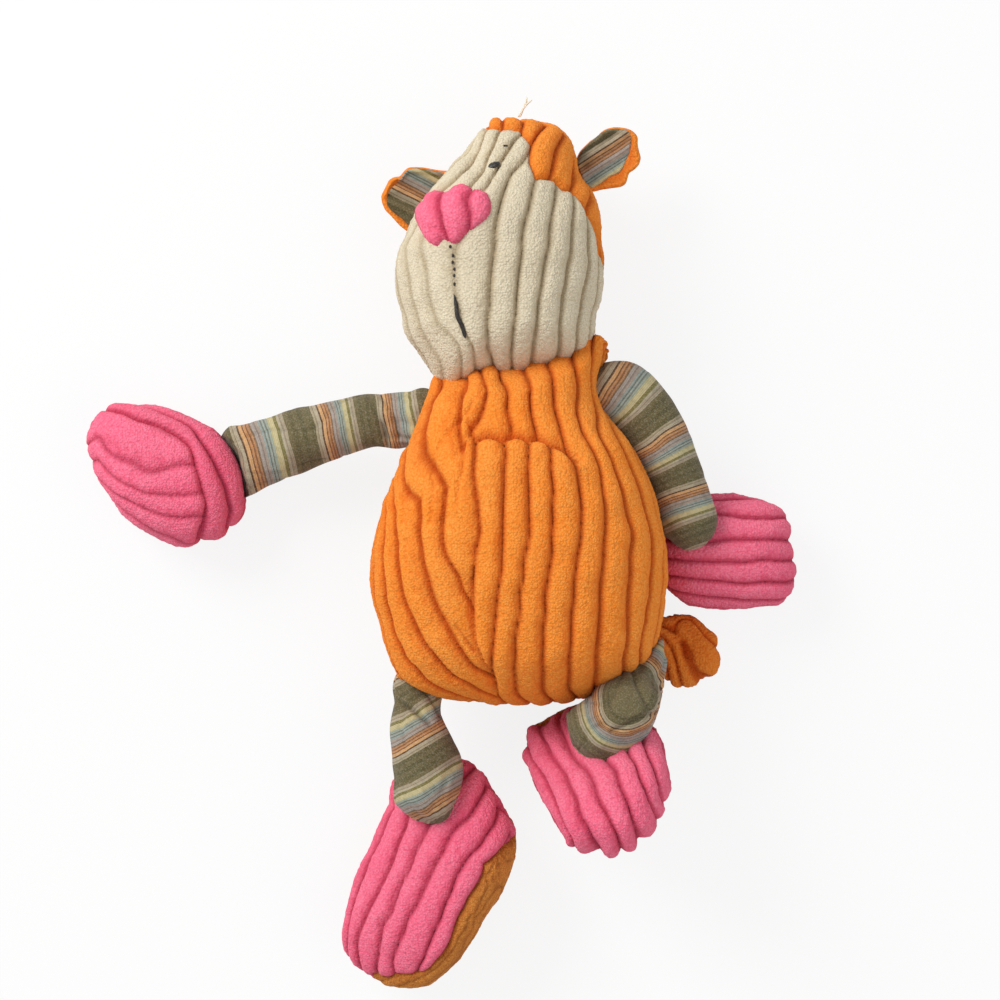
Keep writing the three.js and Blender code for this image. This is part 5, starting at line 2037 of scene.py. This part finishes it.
LEFT_FOOT = Paw(
    body="left_foot", heel=(24.44, -82.72, 0.22), toe=(43.14, -124.21, 93.69), length=104, width=67,
    heel_width=58, toe_width=58, depth=45, depth_axis=(-0.37, 0.82, 0.44), seam_axis=(-0.2, 0.25, 0.9),
    seam_drop=16, middle=(600, 780), by_picture=True,
    outline=(
        (526, 716), (530, 721), (528, 730), (525, 745), (521, 756), (526, 770), (530, 780), (534, 793),
        (541, 803), (548, 815), (554, 825), (560, 836), (568, 845), (577, 852), (586, 854), (597, 851),
        (603, 857), (610, 859), (618, 855), (622, 851), (632, 852), (638, 846), (640, 839), (647, 839),
        (652, 835), (658, 828), (662, 818), (666, 808), (669, 796), (673, 786), (672, 776), (670, 762),
        (668, 748), (664, 737), (659, 727), (655, 719),
    ),
    halves=(
        PawHalf("left_foot_upper", Finish.PINK_PLUSH, depth=3.4, valleys=(
            (-1, ((522, 770), (532, 795), (546, 818), (560, 842))),
            (0, ((531, 762), (541, 776), (549, 791), (555, 806), (562, 826), (572, 846))),
            (1, ((537, 704), (538, 715), (540, 730), (546, 745), (552, 758), (560, 768), (567, 783),
                (573, 795), (578, 812), (584, 825), (592, 840), (597, 851))),
            (2, ((556, 704), (557, 720), (562, 735), (570, 748), (578, 760), (588, 772), (594, 785),
                (599, 798), (606, 812), (612, 825), (618, 838), (622, 851))),
            (3, ((596, 745), (614, 768), (619, 780), (625, 795), (630, 808), (636, 825), (640, 839))),
            (4, ((620, 735), (636, 762), (641, 778), (648, 792), (655, 808), (660, 822))),
            (5, ((635, 725), (645, 743), (652, 758), (658, 775), (665, 800))),
            (6, ((650, 716), (664, 737), (672, 765))),
        )),
        PawHalf("left_foot_sole", Finish.SOLE_PLUSH, depth=2.2),
    ),
)


# The arms and legs


@dataclass(frozen=True)
class Limb(SubAssembly):
    """An arm or a leg: a striped jersey tube between two pivots, over its fill."""

    body: str
    route: tuple[Place, ...]
    radii: tuple[float, float, float]
    edges: Run
    slack: float
    seed: int
    bands: Valleys = ()
    knee: Pixel | None = None
    creases: tuple[Run, ...] = ()
    under: Run = ()
    smoothing: int = 6
    waist_share: float = 0.92
    stripes_to_a_pixel: float = 0.72
    knee_patch: float = 22.0
    knee_start: float = 21.0
    fill_inset: float = 3.6

    def _form(self) -> StuffedForm:
        """A ball round each pivot, with a waist and a swelling between them, fitted to the edges.

        Returns:
            The form.
        """
        root, middle, end = self.radii
        route = np.array(self.route)
        points = [route[0] + unit(route[0] - route[1]) * root, *route,
                  route[-1] + unit(route[-1] - route[-2]) * end]
        length = Spine(points).length
        radius = Profile((
            (0, root), (root / length, root), (root * 1.5 / length, root * self.waist_share), (0.5, middle),
            (1 - end * 1.5 / length, end * self.waist_share), (1 - end / length, end), (1, end),
        ))
        form = StuffedForm(points, radius, radius, root, end)
        plain = form.surface(SLIM_FIT_STEP)
        if self.knee:
            form.fit = RoundFit(plain, self.knee, self.edges)
        else:
            form.fit = TubeFit(plain, self.edges, self.smoothing)
        if self.under:
            form.fit = Tucked(form.fit, self.under, 13, (-1, 5))
        return form

    def build(self, bench: Workbench) -> None:
        """Makes the sleeve and the fill on the bench.

        Args:
            bench: Where they are finished.
        """
        form = self._form()
        surface = form.surface(FINE_STEP)
        lift, shade = self._wrinkles(surface, form)
        _, faces = surface.faces()
        sleeve = make_mesh(f"{self.body}_jersey", surface.displaced(lift, CLOTH_FLOOR), faces,
                           place=surface.points * MILLIMETRE, along=self._stripes(surface) * MILLIMETRE,
                           valley=shade)
        route = np.array(self.route)
        away = unit(route[1] - route[0])
        bench.bend(sleeve, self.body, f"{self.body}_sleeve", Finish.STRIPED_JERSEY, 0.5,
                   (route[0] - away * 2, route[0] + away * 16))
        bench.stuff(self.body, form, self.fill_inset, 0.5)

    def _stripes(self, surface: Surface) -> Points:
        """Distances across the stripes, which run round the knee where one shows.

        Args:
            surface: The limb's surface.

        Returns:
            Millimetres from the start of a repeat.
        """
        if not self.knee:
            return wale_numbers(surface, self.bands, True)
        offset = to_pixels(surface.points) - np.array(self.knee)
        turn = np.arctan2(offset[:, 1], offset[:, 0])
        gap = np.linalg.norm(offset, axis=1) * (1 + 0.1 * np.sin(2 * turn + 0.6)) - self.knee_patch
        return self.knee_start + np.clip(gap, 0, None) * self.stripes_to_a_pixel

    def _wrinkles(self, surface: Surface, form: StuffedForm) -> tuple[Points, Points]:
        """Gathers at both seams and slack folds between them.

        Args:
            surface: The limb's surface.
            form: Its form.

        Returns:
            The lift of each point, and the painted shade in its fold.
        """
        from_root = surface.distance - form.start_dome
        from_end = form.spine.length - form.end_dome - surface.distance
        near = np.exp(-np.clip(from_root - 2, 0, None) / 8)
        near = near + 0.4 * np.exp(-np.clip(from_end - 2, 0, None) / 5)
        gathers = np.sin(surface.angle * 11 + 2 * np.sin(surface.angle * 3 + self.seed)) * 0.5 * near
        slack = lumps(surface.points, 15, self.seed) * 0.6
        crease = -0.9 * bell(lumps(surface.points, 24, self.seed + 1), 0.14)
        lift = (gathers + slack + crease) * self.slack
        pixels = to_pixels(surface.points)
        towards = smooth_step(0, 0.3, surface.normals[:, 2])
        for run in self.creases:
            lift = lift + groove(pixels, run, 1.4, 2.2) * towards
        # Painted shade, darker the deeper a fold sinks.
        return lift, np.clip(-lift / 2.4, 0, 1)


RIGHT_ARM = Limb(
    body="right_arm", radii=(11.2, 13, 14.2), slack=0.8, seed=5, under=RIGHT_HAND.outline,
    route=((-43.53, 55, 42), (-64.58, 53.84, 36.14), (-88.79, 46.43, 28.99), (-122.5, 34.4, 19.6)),
    edges=(
        (215, 431), (222, 429), (235, 427), (243, 423), (255, 421), (262, 419), (270, 417), (285, 411),
        (300, 407), (315, 405), (325, 405), (335, 400), (345, 397), (360, 394), (371, 394), (380, 396),
        (390, 394), (400, 393), (407, 389), (415, 391), (425, 394), (500, 394), (500, 450), (405, 450),
        (390, 448), (375, 448), (357, 450), (350, 453), (340, 456), (327, 463), (313, 470), (300, 473),
        (290, 480), (280, 482), (270, 486), (260, 488), (249, 494), (235, 502), (225, 505),
    ),
    bands=(
        (61.1, ((386, 394), (390, 420), (396, 448))),
        (31.6, ((322, 405), (329, 433), (336, 460))),
        (2.1, ((243, 423), (254, 455), (262, 488))),
    ),
    creases=(
        ((369, 394), (374, 410), (384, 430), (388, 448)),
        ((381, 396), (393, 414), (399, 438)),
    ),
)
LEFT_ARM = Limb(
    body="left_arm", radii=(11.2, 12.4, 12), slack=0.35, seed=15, smoothing=3,
    route=((38.36, 65, 42), (48.11, 65.82, 41.73), (57, 58.10, 41.08), (65.15, 38.74, 39.89),
           (70.84, 20.95, 38.85), (74.90, 9.28, 38.16)),
    edges=(
        (594, 385), (597, 403), (606, 418), (617, 432), (629, 451), (640, 469), (648, 486), (654, 502),
        (659, 521), (665, 540), (690, 543), (704, 539), (712, 535), (717, 528), (717, 516), (714, 503),
        (710, 490), (706, 478), (702, 466), (697, 455), (692, 440), (687, 426), (680, 413), (675, 404),
        (668, 394), (660, 384), (652, 376), (641, 367), (633, 361), (625, 359), (613, 360), (606, 362),
        (597, 366),
    ),
    bands=(
        (2.1, ((601, 404), (612, 385), (628, 362))),
        (31.6, ((641, 455), (668, 437), (692, 424))),
        (61.1, ((655, 506), (690, 493), (712, 486))),
    ),
)
RIGHT_LEG = Limb(
    body="right_leg", radii=(12.5, 13.8, 15), slack=0.7, seed=25,
    route=((-43, -62.97, 34), (-40.47, -85.56, 41.60), (-37.94, -108.14, 45.19)),
    edges=(
        (398, 678), (395, 690), (392, 705), (390, 726), (391, 750), (393, 775), (397, 806), (399, 818),
        (405, 824), (415, 825), (430, 820), (440, 812), (450, 803), (456, 795), (464, 782), (467, 772),
        (462, 756), (452, 736), (441, 716), (433, 703), (428, 696),
    ),
    bands=(
        (31.6, ((395, 751), (415, 740), (437, 727))),
        (2.1, ((405, 823), (425, 813), (449, 796))),
    ),
    creases=(
        ((422, 688), (431, 698), (441, 716)),
        ((400, 702), (414, 710), (430, 722)),
    ),
)
LEFT_LEG = Limb(
    body="left_leg", radii=(12.5, 16, 15), slack=0.8, seed=35, knee=(630, 694),
    route=((53.79, -57.47, 44), (45.63, -72.37, 59.17), (32.80, -83.51, 64.35)),
    edges=(
        (658, 632), (663, 640), (666, 650), (667, 662), (664, 680), (663, 696), (660, 710), (656, 720),
        (648, 735), (640, 742), (634, 752), (626, 760), (612, 766), (600, 766), (588, 761), (578, 752),
        (570, 740), (566, 725), (565, 712), (566, 704),
    ),
    creases=(
        ((612, 731), (622, 727), (636, 720), (651, 714), (662, 712)),
        ((630, 668), (640, 690), (651, 714)),
    ),
)


# The tail


@dataclass(frozen=True)
class Tail(SubAssembly):
    """The tail: a plush tube whose end is rolled up into a fat curl."""

    spine: tuple[Place, ...] = ((43.5, -48.5, 12.5), (54.5, -41.5, 11), (66, -44, 10.2), (78, -48, 10),
                                (93, -49.5, 10))
    half_width: Profile = Profile(((0, 7.4), (0.2, 8), (0.42, 14), (0.65, 16), (1, 14)))
    half_depth: Profile = Profile(((0, 7.4), (0.3, 8.6), (0.6, 9.8), (1, 9)))
    domes: tuple[float, float] = (7.4, 11)
    roundness: float = 2.1
    bend: tuple[Place, Place] = ((43.5, -48, 13), (54.5, -41, 10.5))
    fill_inset: float = 4.2
    middle: Pixel = (680, 650)
    outline: Run = (
        (655, 618), (663, 615), (680, 613), (698, 616), (707, 626), (716, 636), (719, 646), (721, 656),
        (720, 666), (716, 676), (706, 681), (698, 685), (690, 687), (675, 684), (664, 681),
    )
    valleys: Valleys = (
        (0, ((664, 612), (690, 609), (712, 622))),
        (1, ((661, 623), (674, 630), (682, 642), (684, 654), (686, 665), (695, 673), (705, 678))),
        (1.6, ((684, 622), (700, 634), (708, 650), (706, 664))),
        (2, ((664, 640), (672, 650), (676, 662), (678, 674))),
    )

    def build(self, bench: Workbench) -> None:
        """Makes the cover and the fill on the bench.

        Args:
            bench: Where they are finished.
        """
        form = StuffedForm(self.spine, self.half_width, self.half_depth, *self.domes,
                           roundness=self.roundness)
        form.fit = RoundFit(form.surface(SLIM_FIT_STEP), self.middle, self.outline)
        surface = form.surface(FINE_STEP)
        _, roll = self.valleys[1]
        towards = smooth_step(0, 0.3, surface.normals[:, 2])
        folds = groove(to_pixels(surface.points), roll, 1.6, 3.0) * towards
        no_seam = np.full(len(surface.points), 50.0)
        phase = wale_numbers(surface, self.valleys, True)
        # The tail gets an even painted shade of 0.3 over its whole cover.
        cover = Cloth("tail_plush", 2.6, 0.3).build(surface, no_seam, phase, folds)
        bench.bend(cover, "tail", "tail_cover", Finish.ORANGE_PLUSH, 0.6, self.bend)
        bench.stuff("tail", form, self.fill_inset, 0.5)


# The room


def make_stage() -> None:
    """A pale floor that keeps the toy's shadow and shows white beyond it."""
    mesh = bpy.data.meshes.new("floor")
    reach = 3.0
    corners = [(-reach, -reach, 0), (reach, -reach, 0), (reach, reach, 0), (-reach, reach, 0)]
    mesh.from_pydata(corners, [], [(0, 1, 2, 3)])
    floor = bpy.data.objects.new("floor", mesh)
    bpy.context.scene.collection.objects.link(floor)
    tree = ShaderTree("floor")
    paint = tree.node("ShaderNodeBsdfDiffuse", {}, {"Color": (0.9, 0.9, 0.9, 1)})
    glow = tree.node("ShaderNodeEmission", {}, {"Color": (1, 1, 1, 1), "Strength": 1.0})
    path = tree.node("ShaderNodeLightPath", {}, {})
    camera, glossy, through = (Signal(tree, path.outputs[f"Is {kind} Ray"])
                               for kind in ("Camera", "Glossy", "Transmission"))
    factor = (camera + glossy + through) * 0.85
    both = tree.node("ShaderNodeMixShader", {}, {0: factor, 1: paint.outputs[0], 2: glow.outputs[0]})
    mesh.materials.append(tree.output(both.outputs[0]))


def make_lights() -> None:
    """A broad soft lamp at the upper left, a weaker one at the right, and an even sky."""
    world = bpy.data.worlds.new("room")
    bpy.context.scene.world = world
    world.use_nodes = True
    background = world.node_tree.nodes["Background"]
    background.inputs["Color"].default_value = (1, 1, 1, 1)
    background.inputs["Strength"].default_value = 0.5
    middle = Vector((0, 0, 0.04))
    lamps = (("key", (-1.1, 0.9, 1.1), 0.9, 22.5), ("fill", (1.1, -0.6, 1.4), 1.4, 6.0))
    for name, place, size, power in lamps:
        light = bpy.data.lights.new(name, "AREA")
        light.size = size
        light.energy = power
        lamp = bpy.data.objects.new(name, light)
        lamp.location = place
        lamp.rotation_euler = (middle - Vector(place)).to_track_quat("-Z", "Y").to_euler()
        bpy.context.scene.collection.objects.link(lamp)


def make_camera() -> None:
    """The photograph's camera: straight above, the head at the top."""
    data = bpy.data.cameras.new("camera")
    data.sensor_width = SENSOR_WIDTH
    width_at_middle = 2 * IMAGE_MIDDLE * MILLIMETRES_PER_PIXEL
    data.lens = SENSOR_WIDTH * (CAMERA_HEIGHT - MIDDLE_HEIGHT) / width_at_middle
    camera = bpy.data.objects.new("camera", data)
    camera.location = Vector((CAMERA_X, CAMERA_Y, CAMERA_HEIGHT)) * MILLIMETRE
    bpy.context.scene.collection.objects.link(camera)
    bpy.context.scene.camera = camera
    bpy.context.scene.view_settings.view_transform = "Standard"


HEAD = Head()
TOY = (Torso(under=HEAD.outline), HEAD, LEFT_EAR, RIGHT_EAR, RIGHT_HAND, LEFT_HAND, RIGHT_FOOT, LEFT_FOOT,
       RIGHT_ARM, LEFT_ARM, RIGHT_LEG, LEFT_LEG, Tail())


def main() -> None:
    """Builds the toy, one sub-assembly after another, over the CAD frame."""
    logging.basicConfig(level=logging.INFO, format="%(message)s")
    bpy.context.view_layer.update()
    make_camera()
    make_stage()
    make_lights()
    bench = Workbench()
    for part in TOY:
        part.build(bench)


if __name__ == "__main__":
    main()
